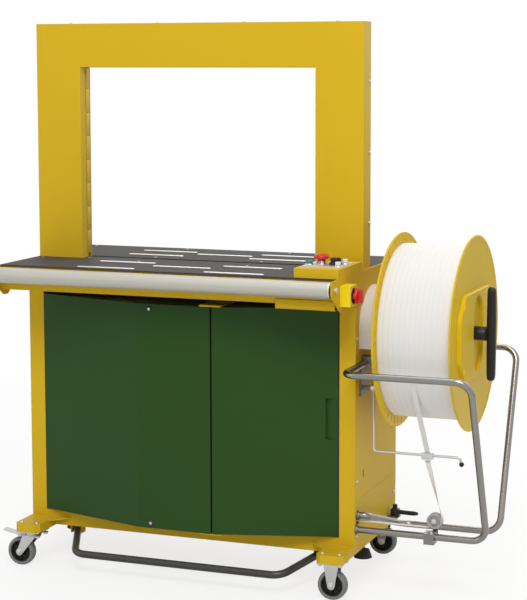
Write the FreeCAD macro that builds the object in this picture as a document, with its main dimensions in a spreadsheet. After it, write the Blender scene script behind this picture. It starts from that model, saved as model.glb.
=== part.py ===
import FreeCAD, Part
import math
import os
import re

import Sketcher
from FreeCAD import Placement, Rotation, Vector

# Arch strapping machine on casters, with an outboard strap reel on its right side.
# Frame: X to the operator's right, Y to the rear, Z up. Origin on the floor, below
# the middle of the strapping opening, in the plane halfway through the arch.
# All lengths are in millimetres.

os.makedirs("parts", exist_ok=True)
doc = FreeCAD.newDocument("strapping_machine")
sheet = doc.addObject("Spreadsheet::Sheet", "Dimensions")

DIMENSIONS = {
    "general": {
        "gap": 0.3,
        "running": 0.05,
        "sheet_wall": 2,
        "plate_wall": 3,
        "screw_radius": 4.5,
        "cheek_screw": 8,
    },
    "base": {
        "floor_gap": 97,
        "foot_width": 70,
        "foot_height": 22,
        "foot_front": 190,
        "foot_rear": 306,
        "foot_corner": 12,
        "beam_height": 40,
        "gusset": 45,
    },
    "body": {
        "body_front": 88,
        "body_rear": 262,
        "post_width": 40,
        "post_depth": 40,
        "rail_height": 22,
        "side_strip": 113,
        "side_seam": 1,
        "shelf_level": 360,
        "strap_window": 22,
        "side_slot_y": -26,
        "side_slot_width": 4,
        "side_slot_low": 282,
        "side_slot_height": 17,
    },
    "covers": {
        "bow_depth": 87,
        "facet_half": 100,
        "cover_inset": 48,
        "cover_bottom": 139,
        "cover_drop": 27,
        "cover_return": 14,
        "seam": 5,
        "hinge_inset": 7,
        "hinge_pin": 4,
        "hinge_plate_left": 40,
        "hinge_plate_right": 17,
        "grip_width": 30,
        "grip_height": 104,
        "grip_bottom": 386,
    },
    "table": {
        "table_top": 806,
        "table_front": 236,
        "table_rear": 279,
        "table_depth": 64,
        "side_depth": 79,
        "cheek_front": 283,
        "cheek_drop": 35,
        "cheek_tip": 220,
        "table_rail": 20,
        "slot_front": 7,
        "slot_rear": 29,
    },
    "roller": {
        "roller_radius": 20,
        "roller_wall": 2.5,
        "roller_axis": 257,
        "roller_drop": 24,
        "roller_inset": 9,
        "roller_shaft": 6,
    },
    "strips": {
        "strip_length": 158,
        "strip_width": 11,
        "strip_height": 2.5,
        "strip_left": -165,
        "strip_centre": 10,
        "strip_right": 180,
        "strip_near": 88,
        "strip_far": 180,
        "strip_front": 215,
        "strip_middle": 142,
    },
    "arch": {
        "opening_width": 650,
        "opening_height": 500,
        "leg_width": 126.5,
        "head_height": 112,
        "arch_depth": 56,
        "arch_inset": 3.5,
        "arch_sink": 61,
        "track_depth": 25,
        "track_front": -3.5,
        "track_rear": 25.5,
        "groove_front": 8,
        "groove_width": 16,
        "groove_depth": 14,
        "arch_screw_low": 113,
        "arch_screw_middle": 289,
        "arch_screw_high": 465,
    },
    "controls": {
        "box_inset": 112,
        "box_front": 234,
        "box_rear": 50,
        "box_height": 23,
        "panel_inset": 103,
        "panel_edge": 5,
        "panel_front": 205,
        "panel_rear": 100,
        "start_inset": 94,
        "start_y": -172,
        "start_radius": 8,
        "stop_inset": 69,
        "stop_y": -155,
        "stop_radius": 19,
        "dial_inset": 32,
        "dial_y": -158,
        "dial_radius": 16,
        "feed_inset": 18,
        "feed_y": -128,
        "retract_inset": 15,
        "retract_y": -191,
        "feed_radius": 7,
        "stem_radius": 5,
        "switch_y": -195,
        "switch_drop": 42,
        "switch_half": 25,
        "switch_depth": 26,
        "knob_radius": 19,
    },
    "reel": {
        "reel_y": 40,
        "reel_z": 652,
        "housing_radius": 102,
        "housing_bottom": 613,
        "housing_rise": 8,
        "housing_depth": 68,
        "spindle_radius": 15,
        "flange_radius": 244,
        "flange_wall": 3,
        "flange_out": 74,
        "coil_width": 184,
        "coil_radius": 217,
        "core_radius": 100,
        "boss_radius": 34,
        "boss_inset": 24,
        "nut_radius": 18,
        "nut_length": 22,
        "nut_cap": 3,
        "flange_boss": 8,
        "bar_radius": 13,
        "bar_half": 117,
    },
    "guard": {
        "guard_radius": 8.5,
        "guard_top": 576,
        "guard_front": 225,
        "guard_rear": 305,
        "guard_out": 322,
        "guard_lean": 8,
        "guard_wall": 1.5,
        "guard_end_front": 28,
        "guard_end_rear": 200,
        "guard_return_out": 50,
        "guard_return_y": 68,
        "guard_return_z": 194,
        "guard_low_front": 80,
        "guard_low_front_z": 160,
        "guard_low_rear": 124,
        "guard_low_rear_z": 129,
        "guard_bend": 38,
        "guard_side_out": 8,
        "clamp_half": 13,
    },
    "lever": {
        "lever_out": 15,
        "lever_y": 200,
        "lever_z": 126,
        "lever_hub": 22,
        "lever_radius": 12,
        "lever_reach": 60,
        "lever_pin": 3,
    },
    "strap": {
        "strap_width": 13,
        "strap_thick": 0.8,
        "arm_y": -35,
        "arm_pivot_z": 512,
        "arm_drop": 160,
        "arm_out": 27,
        "arm_reach_out": 250,
        "arm_radius": 3.2,
        "eyelet_out": 169,
        "pulley_out": 197,
        "pulley_y": -68,
        "pulley_z": 198,
        "pulley_radius": 17,
        "pulley_width": 18,
    },
    "foot_bar": {
        "bar_tube": 9.5,
        "bar_front": 172,
        "bar_level": 50,
        "bar_bend_x": 285,
        "bar_bend_radius": 42,
        "pivot_x": 345,
        "pivot_y": -36,
        "pivot_z": 78,
        "pivot_pin": 6,
        "pivot_hub": 22,
        "pivot_ear": 12,
        "pivot_room": 4,
    },
    "casters": {
        "wheel_radius": 37.5,
        "wheel_width": 24,
        "tread_depth": 9,
        "caster_inset": 38,
        "caster_front": 155,
        "caster_rear": 267,
        "caster_trail": 32,
        "caster_plate": 66,
        "caster_plate_depth": 58,
        "axle_radius": 4,
        "fork_wall": 2.5,
        "pedal_inset": 18,
        "pedal_z": 78.5,
        "pedal_pin": 2,
        "pedal_half": 11,
        "pedal_reach": 64,
        "pedal_rise": 13,
    },
    "inside": {
        "head_half": 110,
        "head_front": -14,
        "head_rear": 46,
        "head_wall": 8,
        "head_drop": 206,
        "cam_drop": 156,
        "cam_radius": 21,
        "cam_throw": 5,
        "cam_shaft_radius": 9,
        "slide_half": 20,
        "slide_pitch": 48,
        "slide_drop": 18,
        "guide_low": 68,
        "guide_high": 43,
        "shelf_drop": 40,
        "shelf_wall": 8,
        "blade_wall": 3,
        "blade_drop": 7,
        "pulley_face": 132,
        "cam_pulley": 32,
        "motor_pulley_radius": 20,
        "motor_y": 120,
        "motor_z": 440,
        "motor_radius": 45,
        "belt_wall": 3,
        "unit_left": 400,
        "unit_right": 150,
        "unit_front": 40,
        "unit_rear": 200,
        "unit_height": 237,
        "feed_roll": 30,
        "pinch_roll": 18,
        "feed_roll_x": 230,
        "feed_roll_drop": 156,
        "feed_plate_left": 150,
        "feed_plate_right": 330,
        "feed_plate_front": 50,
        "feed_plate_wall": 6,
        "feed_plate_drop": 266,
        "feed_motor": 38,
        "feed_roll_width": 18,
        "pool_left": 140,
        "pool_front": 84,
        "pool_rear": 52,
        "pool_top": 520,
        "pool_inset": 4,
        "pool_mouth": 9,
    },
}

# Places and levels that follow the opening's width and the table's height.
PLACES = {
    "half_width": "opening_width / 2 + leg_width + arch_inset",
    "body_top": "table_top - table_depth",
    "skirt_bottom": "table_top - table_depth",
    "side_bottom": "table_top - side_depth",
    "arch_foot": "table_top - arch_sink",
    "cover_edge": "half_width - cover_inset",
    "cover_top": "body_top - cover_drop",
    "roller_half": "half_width - roller_inset",
    "box_left": "half_width - box_inset",
    "panel_left": "half_width - panel_inset",
    "panel_right": "half_width - panel_edge",
    "start_x": "half_width - start_inset",
    "stop_x": "half_width - stop_inset",
    "dial_x": "half_width - dial_inset",
    "feed_x": "half_width - feed_inset",
    "retract_x": "half_width - retract_inset",
    "switch_z": "table_top - switch_drop",
    "flange_x": "half_width + flange_out",
    "guard_reach": "half_width + guard_out",
    "guard_return_x": "half_width + guard_return_out",
    "guard_side": "half_width + guard_side_out",
    "lever_x": "half_width + lever_out",
    "arm_x": "half_width + arm_out",
    "arm_reach": "half_width + arm_reach_out",
    "eyelet_x": "half_width + eyelet_out",
    "pulley_x": "half_width + pulley_out",
    "caster_x": "half_width - caster_inset",
    "cam_z": "table_top - cam_drop",
    "head_bottom": "table_top - head_drop",
    "slide_top": "table_top - slide_drop",
    "feed_roll_z": "table_top - feed_roll_drop",
}

CELLS = {name: str(number) for section in DIMENSIONS.values() for name, number in section.items()}
CELLS.update({name: f"={text}" for name, text in PLACES.items()})
for row, (name, content) in enumerate(CELLS.items(), 1):
    sheet.set(f"A{row}", name)
    sheet.set(f"B{row}", content)
    sheet.setAlias(f"B{row}", name)
doc.recompute()
NAMES = set(CELLS)
PARTS = {}


def size(name):
    """Number that a named cell of the sheet holds."""
    return float(sheet.get(name))


def formula(text):
    """Formula in which every dimension name points at its cell."""
    return re.sub(r"[a-z][a-z_]*", lambda m: "Dimensions." + m.group(0)
                  if m.group(0) in NAMES else m.group(0),
                  str(text))


def bind(thing, path, text):
    """Tie one property of an object to a formula."""
    thing.setExpression(path, formula(text))


def block(name, x, y, z):
    """Box between a low and a high formula on each axis."""
    solid = doc.addObject("Part::Box", name)
    for letter, (low, high), length in (("x", x, "Length"), ("y", y, "Width"), ("z", z, "Height")):
        bind(solid, length, f"({high}) - ({low})")
        bind(solid, f"Placement.Base.{letter}", low)
    return solid


TURN = {
    "x": Rotation(Vector(0, 1, 0), 90),
    "y": Rotation(Vector(1, 0, 0), -90),
    "z": Rotation(),
}


def rod(name, axis, centre, span, radius):
    """Cylinder along an axis; the centre is given on the two other axes, in X, Y, Z order."""
    solid = doc.addObject("Part::Cylinder", name)
    solid.Placement = Placement(Vector(), TURN[axis])
    others = [letter for letter in "xyz" if letter != axis]
    bind(solid, "Radius", radius)
    bind(solid, "Height", f"({span[1]}) - ({span[0]})")
    bind(solid, f"Placement.Base.{axis}", span[0])
    for letter, place in zip(others, centre):
        bind(solid, f"Placement.Base.{letter}", place)
    return solid


def taper(name, axis, centre, span, radius_low, radius_high):
    """Cone along an axis, laid out like rod."""
    solid = doc.addObject("Part::Cone", name)
    solid.Placement = Placement(Vector(), TURN[axis])
    others = [letter for letter in "xyz" if letter != axis]
    bind(solid, "Radius1", radius_low)
    bind(solid, "Radius2", radius_high)
    bind(solid, "Height", f"({span[1]}) - ({span[0]})")
    bind(solid, f"Placement.Base.{axis}", span[0])
    for letter, place in zip(others, centre):
        bind(solid, f"Placement.Base.{letter}", place)
    return solid


def fuse(name, *shapes):
    """Union of several objects."""
    joined = doc.addObject("Part::MultiFuse", name)
    joined.Shapes = list(shapes)
    joined.Refine = True
    return joined


def cut(name, base, *tools):
    """Base object with one or more tools taken away."""
    tool = tools[0] if len(tools) == 1 else fuse(name + "_tools", *tools)
    result = doc.addObject("Part::Cut", name)
    result.Base = base
    result.Tool = tool
    result.Refine = True
    return result


def group(name, *shapes):
    """Separate solids that share one node."""
    together = doc.addObject("Part::Compound", name)
    together.Links = list(shapes)
    return together


def shaped(name, shape):
    """Object whose shape is worked out in this file from the sheet's numbers."""
    feature = doc.addObject("Part::Feature", name)
    feature.Shape = shape
    return feature


def attached_sketch(body, name, plane, height, centre=("0", "0")):
    """Empty sketch on one of the body's own planes, moved to a height and a centre."""
    sketch = body.newObject("Sketcher::SketchObject", name)
    face = next(feature for feature in body.Origin.OriginFeatures if feature.Role == plane)
    sketch.AttachmentSupport = (face, "")
    sketch.MapMode = "FlatFace"
    bind(sketch, "AttachmentOffset.Base.x", centre[0])
    bind(sketch, "AttachmentOffset.Base.y", centre[1])
    bind(sketch, "AttachmentOffset.Base.z", height)
    return sketch


def add_polygon(sketch, corners):
    """Closed outline whose corners are tied to formulas."""
    count = len(corners)
    ring = [Vector(math.cos(2 * math.pi * i / count), math.sin(2 * math.pi * i / count), 0) * 10
            for i in range(count)]
    first = sketch.GeometryCount
    for i in range(count):
        sketch.addGeometry(Part.LineSegment(ring[i], ring[(i + 1) % count]), False)
    for i in range(count):
        sketch.addConstraint(Sketcher.Constraint("Coincident", first + i, 2, first + (i + 1) % count, 1))
    for i, corner in enumerate(corners):
        for kind, place, start in zip(("DistanceX", "DistanceY"), corner, (ring[i].x, ring[i].y)):
            number = sketch.addConstraint(Sketcher.Constraint(kind, -1, 1, first + i, 1, start))
            bind(sketch, f"Constraints[{number}]", place)


def add_circle(sketch, centre, radius):
    """Circle whose centre and radius are tied to formulas."""
    index = sketch.addGeometry(Part.Circle(Vector(5, 5, 0), Vector(0, 0, 1), 3), False)
    for kind, place in zip(("DistanceX", "DistanceY"), centre):
        number = sketch.addConstraint(Sketcher.Constraint(kind, -1, 1, index, 3, 5))
        bind(sketch, f"Constraints[{number}]", place)
    number = sketch.addConstraint(Sketcher.Constraint("Radius", index, 3))
    bind(sketch, f"Constraints[{number}]", radius)


def prism(name, plane, span, *outlines, centre=("0", "0")):
    """Body padded from one outline, with further outlines as holes.

    An outline is a list of corners, or a (centre, radius) pair for a circle.
    The span runs along Z for XY_Plane, along X for YZ_Plane and along Y for XZ_Plane.
    """
    body = doc.addObject("PartDesign::Body", name)
    height = f"-({span[1]})" if plane == "XZ_Plane" else span[0]
    sketch = attached_sketch(body, name + "_outline", plane, height, centre)
    for outline in outlines:
        if isinstance(outline, tuple):
            add_circle(sketch, *outline)
        else:
            add_polygon(sketch, outline)
    pad = body.newObject("PartDesign::Pad", name + "_pad")
    pad.Profile = sketch
    bind(pad, "Length", f"({span[1]}) - ({span[0]})")
    return body


def rectangle(low, high):
    """Corners of an upright rectangle between two corners."""
    return [(low[0], low[1]), (high[0], low[1]), (high[0], high[1]), (low[0], high[1])]


def pocket_row(body, name, plane, height, outline, direction, step_length, count):
    """Pocket through a body, repeated in a row."""
    sketch = attached_sketch(body, name, plane, height)
    add_polygon(sketch, outline)
    hole = body.newObject("PartDesign::Pocket", name + "_cut")
    hole.Profile = sketch
    hole.Type = "ThroughAll"
    hole.Midplane = True
    row = body.newObject("PartDesign::LinearPattern", name + "_row")
    row.Originals = [hole]
    row.Direction = (sketch, [direction])
    bind(row, "Length", f"({step_length}) * {count - 1}")
    row.Occurrences = count
    body.Tip = row
    return body


def pocket_ring(body, name, plane, height, centre, outline, count):
    """Pocket through a body, repeated round a centre."""
    sketch = attached_sketch(body, name, plane, height, centre)
    if isinstance(outline, tuple):
        add_circle(sketch, *outline)
    else:
        add_polygon(sketch, outline)
    hole = body.newObject("PartDesign::Pocket", name + "_cut")
    hole.Profile = sketch
    hole.Type = "ThroughAll"
    hole.Midplane = True
    ring = body.newObject("PartDesign::PolarPattern", name + "_ring")
    ring.Originals = [hole]
    ring.Axis = (sketch, ["N_Axis"])
    ring.Angle = 360
    ring.Occurrences = count
    body.Tip = ring
    return body


def bent_path(points, radii):
    """Wire of straight runs joined by tangent arcs, with one radius for each inner point."""
    edges = []
    start = points[0]
    for before, corner, after, radius in zip(points, points[1:], points[2:], radii):
        into = (corner - before).normalize()
        out = (after - corner).normalize()
        turn = into.getAngle(out)
        reach = radius * math.tan(turn / 2)
        first = corner - into * reach
        last = corner + out * reach
        middle = corner + (out - into).normalize() * (radius / math.cos(turn / 2) - radius)
        edges.append(Part.LineSegment(start, first).toShape())
        edges.append(Part.Arc(first, middle, last).toShape())
        start = last
    edges.append(Part.LineSegment(start, points[-1]).toShape())
    return Part.Wire(edges)


def tube_along(points, bends, radius, wall=0):
    """Round tube, or a rod if it has no wall, swept along a bent path."""
    radii = bends if isinstance(bends, list) else [bends] * (len(points) - 2)
    path = bent_path(points, radii)
    direction = points[1] - points[0]

    def sweep(section_radius):
        section = Part.Wire(Part.makeCircle(section_radius, points[0], direction))
        return path.makePipeShell([section], True, False)

    solid = sweep(radius)
    return solid.cut(sweep(radius - wall)) if wall else solid


def node(label, thing):
    """Register an object as the sub-part with this label."""
    thing.Label = label
    PARTS[label] = thing
    return thing


def mirrored(*spans):
    """The same X span on the left and on the right."""
    return [(low, high) for low, high in spans] + [(f"-({high})", f"-({low})") for low, high in spans]


BODY_HALF = "half_width - plate_wall"
POST_OUT = "half_width - plate_wall - sheet_wall"
POST_IN = "half_width - plate_wall - sheet_wall - post_width"
FOOT_TOP = "floor_gap + foot_height"
LEVER = ("lever_x", "lever_y")
BEAM_TOP = "floor_gap + beam_height"


def base_frame():
    """Welded base: two channel feet, front and rear beams, floor plate and foot bar ears."""
    inner = f"{BODY_HALF} - foot_width"
    pieces = []
    for side in ("", "-"):
        outline = [(f"{side}({x})", y) for x, y in (
            (inner, "foot_corner - foot_front"), (f"{inner} + foot_corner", "-foot_front"),
            (f"{BODY_HALF} - foot_corner", "-foot_front"), (BODY_HALF, "foot_corner - foot_front"),
            (BODY_HALF, "foot_rear"), (inner, "foot_rear"))]
        tag = "left" if side else "right"
        foot = prism(f"foot_{tag}", "XY_Plane", ("floor_gap", FOOT_TOP), outline)
        low, high = f"{inner} + plate_wall", f"{BODY_HALF} - plate_wall"
        x = (low, high) if not side else (f"-({high})", f"-({low})")
        hollow = block(f"foot_hollow_{tag}", x,
                       ("plate_wall + foot_corner - foot_front", "foot_rear - plate_wall"),
                       ("floor_gap - 1", f"{FOOT_TOP} - plate_wall"))
        pieces.append(cut(f"foot_channel_{tag}", foot, hollow))
    for tag, y in (("front", ("-body_front", "post_depth - body_front")),
                   ("rear", ("body_rear - post_depth", "body_rear"))):
        beam = block(f"beam_{tag}", (f"-({inner})", inner), y, ("floor_gap", BEAM_TOP))
        hollow = block(f"beam_hollow_{tag}", (f"plate_wall - ({inner})", f"{inner} - plate_wall"),
                       (f"{y[0]} + plate_wall",
                        f"{y[1]} - plate_wall"), ("floor_gap - 1", f"{BEAM_TOP} - plate_wall"))
        pieces.append(cut(f"beam_channel_{tag}", beam, hollow))
        for number, x in enumerate(mirrored((inner, POST_IN))):
            pieces.append(block(f"beam_end_{tag}_{number}", x, y, (FOOT_TOP, BEAM_TOP)))
    pieces.append(block("floor_plate", (f"-({inner})", inner),
                        ("post_depth - body_front", "body_rear - post_depth"),
                        ("floor_gap", "floor_gap + plate_wall")))
    for side in ("", "-"):
        corners = [(f"{side}({inner})", "-body_front"), (f"{side}({inner} - gusset)", "-body_front"),
                   (f"{side}({inner})", "-body_front - gusset")]
        pieces.append(prism("gusset_left" if side else "gusset_right", "XY_Plane",
                            (f"{FOOT_TOP} - plate_wall", FOOT_TOP), corners))
    for number, (low, high) in enumerate(mirrored(("pivot_x - 16", "pivot_x - 12"),
                                                  ("pivot_x + 12", "pivot_x + 16"))):
        pieces.append(block(f"pivot_ear_{number}", (low, high),
                            ("pivot_y - pivot_ear", "pivot_y + pivot_ear"),
                            ("pivot_z - pivot_ear", "floor_gap")))
    for number, (low, high) in enumerate(mirrored(("pivot_x - 16", "pivot_x + 16"))):
        pieces.append(rod(f"pivot_pin_{number}", "x", ("pivot_y", "pivot_z"), (low, high), "pivot_pin"))
    return node("base_frame", fuse("base_frame", *pieces))


def body_frame():
    """Four tubular posts with top rails, a shelf and the door's two pivot brackets."""
    pieces = []
    for place, (front, rear) in {"front": ("-body_front", "post_depth - body_front"),
                                 "rear": ("body_rear - post_depth", "body_rear")}.items():
        for number, (left, right) in enumerate(mirrored((POST_IN, POST_OUT))):
            post = block(f"post_{place}_{number}", (left, right), (front, rear), (FOOT_TOP, "body_top"))
            bore = block(f"post_bore_{place}_{number}", (f"{left} + sheet_wall", f"{right} - sheet_wall"),
                         (f"{front} + sheet_wall",
                          f"{rear} - sheet_wall"), (f"{FOOT_TOP} - 1", "body_top + 1"))
            pieces.append(cut(f"post_tube_{place}_{number}", post, bore))
        y = ("-body_front",
             "sheet_wall - body_front") if place == "front" else ("body_rear - sheet_wall", "body_rear")
        pieces.append(block(f"top_rail_{place}", (f"-({POST_IN})", POST_IN), y,
                            ("body_top - rail_height", "body_top")))
    for number, (left, right) in enumerate(mirrored((f"{POST_OUT} - sheet_wall", POST_OUT))):
        pieces.append(block(f"top_rail_side_{number}", (left, right),
                            ("post_depth - body_front", "body_rear - post_depth"),
                            ("body_top - rail_height", "body_top")))
    pieces.append(block("shelf", (f"-({POST_OUT} - sheet_wall)", f"{POST_OUT} - sheet_wall"),
                        ("post_depth - body_front", "body_rear - post_depth"),
                        ("shelf_level", "shelf_level + plate_wall")))
    for number, (left, right) in enumerate(mirrored((f"{POST_OUT} - sheet_wall", POST_OUT))):
        pieces.append(block(f"shelf_rail_{number}", (left, right),
                            ("post_depth - body_front", "body_rear - post_depth"),
                            ("shelf_level - rail_height", "shelf_level + plate_wall")))
    hinge_x, hinge_y = HINGE
    for place, plate, pin in (
            ("low", (BEAM_TOP, "cover_bottom - gap"), (BEAM_TOP, "cover_bottom + sheet_wall + hinge_pin")),
            ("high", ("cover_top + gap", "body_top - rail_height"),
             ("cover_top - sheet_wall - hinge_pin", "body_top - rail_height"))):
        pieces.append(block(f"pivot_plate_{place}",
                            (f"{hinge_x} - hinge_plate_left", f"{hinge_x} + hinge_plate_right"),
                            (f"{hinge_y} - hinge_pin * 2", "hinge_pin - body_front"), plate))
        pieces.append(rod(f"door_pin_{place}", "z", (hinge_x, hinge_y), pin, "hinge_pin"))
    whole = fuse("body_frame_metal", *pieces)
    window = block("strap_window_cut", (f"{POST_IN} - 1", f"{POST_OUT} + 1"),
                   ("pulley_y - strap_window / 2", "pulley_y + strap_window / 2"),
                   ("pulley_z - pulley_radius - strap_window / 2",
                    "pulley_z - pulley_radius + strap_window / 2"))
    return node("body_frame", cut("body_frame", whole, window))


def side_panels():
    """Yellow sheets that close the left and right sides of the body, each over a lower strip."""
    panels = []
    window = rectangle(("pulley_y - strap_window / 2", "pulley_z - pulley_radius - strap_window / 2"),
                       ("pulley_y + strap_window / 2", "pulley_z - pulley_radius + strap_window / 2"))
    slot = rectangle(("side_slot_y - side_slot_width / 2", "side_slot_low"),
                     ("side_slot_y + side_slot_width / 2", "side_slot_low + side_slot_height"))
    split = f"{FOOT_TOP} + side_strip"
    for tag, (left, right) in zip(("right", "left"), mirrored((POST_OUT, BODY_HALF))):
        strip_holes = [window] if tag == "right" else []
        sheet_holes = [slot] if tag == "right" else []
        panels.append(prism(f"side_strip_{tag}", "YZ_Plane", (left, right),
                            rectangle(("-body_front", FOOT_TOP), ("body_rear", split)), *strip_holes))
        panels.append(prism(f"side_panel_{tag}", "YZ_Plane", (left, right),
                            rectangle(("-body_front", f"{split} + side_seam"),
                                      ("body_rear", "body_top")), *sheet_holes))
    return node("side_panels", group("side_panels", *panels))


def rear_panel():
    """Rear sheet with two rows of cooling slots."""
    body = prism("rear_panel", "XZ_Plane", ("body_rear", "body_rear + sheet_wall"),
                 rectangle((f"-({POST_OUT})", BEAM_TOP), (POST_OUT, "body_top")))
    for tag, x in (("a", "-260"), ("b", "200")):
        pocket_row(body, f"vent_{tag}", "XZ_Plane", "-body_rear",
                   rectangle((x, "240"), (f"{x} + 60", "246")), "V_Axis", "16", 9)
    return node("rear_panel", body)


SEAM_LEFT = "facet_half - seam / 5"
SEAM_RIGHT = "facet_half + seam - seam / 5"
HINGE = (f"{SEAM_RIGHT} + hinge_inset", "hinge_inset - body_front - bow_depth")


def folded_cover(name, face, back):
    """Sheet cover: a folded face with top and bottom returns behind it.

    The face is a list of corners from left to right; back is how far the returns reach.
    """
    outer = [(x, y) for x, y in face]
    left, right = face[0], face[-1]
    return_plate = outer + [(right[0], back), (left[0], back)]
    return_plate = [corner for i, corner in enumerate(return_plate) if corner not in return_plate[:i]]
    inner = [(x, f"{y} + sheet_wall * 1.04") for x, y in face]
    wall = prism(f"{name}_wall", "XY_Plane", ("cover_bottom", "cover_top"), outer + inner[::-1])
    low = prism(f"{name}_low", "XY_Plane", ("cover_bottom", "cover_bottom + sheet_wall"), return_plate)
    high = prism(f"{name}_high", "XY_Plane", ("cover_top - sheet_wall", "cover_top"), return_plate)
    return [wall, low, high]


def left_cover():
    """Green cover with the left and centre facets of the bowed front."""
    front = "-body_front - bow_depth"
    pieces = folded_cover("left_cover", [("-cover_edge", "-body_front - sheet_wall"),
                                         ("-facet_half", front), (SEAM_LEFT, front)],
                          "-body_front - gap")
    pieces.append(block("left_cover_edge", (f"{SEAM_LEFT} - sheet_wall", SEAM_LEFT),
                        (front, "cover_return - body_front - bow_depth"),
                        ("cover_bottom", "cover_top")))
    return node("left_cover", fuse("left_cover", *pieces))


def right_door():
    """Green door with the right facet, hung on pivots at the seam, with a recessed grip."""
    front = "-body_front - bow_depth"
    pieces = folded_cover("right_door", [(SEAM_RIGHT, front), ("facet_half + seam + 2", front),
                                         ("cover_edge", "-body_front - sheet_wall")],
                          "-body_front - gap")
    pieces.append(block("right_door_edge", (SEAM_RIGHT, f"{SEAM_RIGHT} + sheet_wall"),
                        (front, "cover_return - body_front - bow_depth"),
                        ("cover_bottom", "cover_top")))
    sheet_metal = fuse("right_door_metal", *pieces)
    grip_x = ("cover_edge - grip_width", "cover_edge + 1")
    window = block("grip_window", grip_x, ("-body_front - bow_depth", "-body_front - gap + 1"),
                   ("grip_bottom", "grip_bottom + grip_height"))
    opened = cut("right_door_opened", sheet_metal, window)
    slope = "bow_depth / (cover_edge - facet_half - seam)"
    top_y = f"-body_front - sheet_wall - ({slope}) * grip_width"
    cup_outline = [("cover_edge - grip_width - sheet_wall", f"{top_y} - ({slope}) * sheet_wall"),
                   ("cover_edge - grip_width", top_y), ("cover_edge - grip_width",
                                                        "-body_front - gap - sheet_wall"),
                   ("cover_edge", "-body_front - gap - sheet_wall"), ("cover_edge", "-body_front - gap"),
                   ("cover_edge - grip_width - sheet_wall", "-body_front - gap")]
    cup = prism("grip_cup", "XY_Plane", ("grip_bottom - sheet_wall",
                                         "grip_bottom + grip_height + sheet_wall"), cup_outline)
    shelf_outline = [("cover_edge - grip_width - sheet_wall", f"{top_y} - ({slope}) * sheet_wall"),
                     ("cover_edge", "-body_front - sheet_wall"), ("cover_edge", "-body_front - gap"),
                     ("cover_edge - grip_width - sheet_wall", "-body_front - gap")]
    shelves = [prism(f"grip_end_{tag}", "XY_Plane", span, shelf_outline)
               for tag, span in (("low", ("grip_bottom - sheet_wall", "grip_bottom")),
                                 ("high", ("grip_bottom + grip_height",
                                           "grip_bottom + grip_height + sheet_wall")))]
    joined = fuse("right_door_joined", opened, cup, *shelves)
    bore = rod("door_bore", "z", HINGE, ("cover_bottom - 1", "cover_top + 1"), "hinge_pin + running")
    return node("right_door", cut("right_door", joined, bore))


def table_frame():
    """Table skirt with side plates and roller cheeks, support flanges, rails and the roller's shaft."""
    top = "table_top - plate_wall"
    pieces = [
        block("apron", (f"-({BODY_HALF})", BODY_HALF),
              ("plate_wall * 2 - table_front", "plate_wall * 3 - table_front"),
              ("skirt_bottom", top)),
        block("rear_skirt", (f"-({BODY_HALF})", BODY_HALF), ("table_rear - plate_wall", "table_rear"),
              ("skirt_bottom", top)),
        prism("side_plate_right", "YZ_Plane", (BODY_HALF, "half_width"),
              [("-cheek_front", "table_top - cheek_drop"), ("-cheek_front", "table_top"),
               ("table_rear", "table_top"),
               ("table_rear", "side_bottom"), ("-cheek_tip", "side_bottom")]),
        prism("side_plate_left", "YZ_Plane", ("-half_width", f"-({BODY_HALF})"),
              [("-cheek_front", "table_top - cheek_drop"), ("-cheek_front", "table_top"),
               ("table_rear", "table_top"),
               ("table_rear", "skirt_bottom"), ("cheek_drop * 1.2 - cheek_tip", "skirt_bottom"),
               ("table_rail - cheek_tip", "side_bottom"), ("-cheek_tip", "side_bottom")]),
    ]
    for number, x in enumerate(mirrored((f"{BODY_HALF} - foot_width", BODY_HALF))):
        pieces.append(block(f"flange_{number}", x,
                            ("plate_wall * 3 - table_front", "table_rear - plate_wall"),
                            ("skirt_bottom", "skirt_bottom + plate_wall")))
    for number, x in enumerate(mirrored(("head_half + table_rail + 1", BODY_HALF))):
        pieces.append(block(f"rail_front_{number}", x, ("-60", "table_rail - 60"),
                            (f"{top} - table_rail", top)))
        pieces.append(block(f"rail_rear_{number}", x, ("50", "table_rail + 50"),
                            (f"{top} - table_rail", top)))
    return node("table_frame", fuse("table_frame", *pieces))


def roller_shaft():
    """Fixed shaft through the front roller, held by a screw at each cheek."""
    return node("roller_shaft", rod("roller_shaft", "x", ("-roller_axis", "table_top - roller_drop"),
                                    (f"-({BODY_HALF})", BODY_HALF), "roller_shaft"))


def front_roller():
    """Free-turning aluminium roller along the table's front edge."""
    centre = ("-roller_axis", "table_top - roller_drop")
    skin = rod("roller_skin", "x", centre, ("-roller_half", "roller_half"), "roller_radius")
    bore = rod("roller_bore", "x", centre, ("18 - roller_half", "roller_half - 18"),
               "roller_radius - roller_wall")
    shaft_hole = rod("roller_hole", "x", centre, ("-roller_half - 1", "roller_half + 1"),
                     "roller_shaft + running")
    return node("front_roller", cut("front_roller", skin, bore, shaft_hole))


def table_plates():
    """Front and rear table plates, and the strip that covers the sealing head."""
    z = ("table_top - plate_wall", "table_top")
    front = block("table_front_plate", (f"-({BODY_HALF})", BODY_HALF), ("-table_front", "-slot_rear"), z)
    rear = block("table_rear_plate", (f"-({BODY_HALF})", BODY_HALF), ("slot_rear", "table_rear"), z)
    strip = block("head_strip", ("sheet_wall - opening_width / 2", "opening_width / 2 - sheet_wall"),
                  ("gap - slot_rear", "slot_front"), z)
    return node("table_plates", group("table_plates", front, rear, strip))


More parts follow.
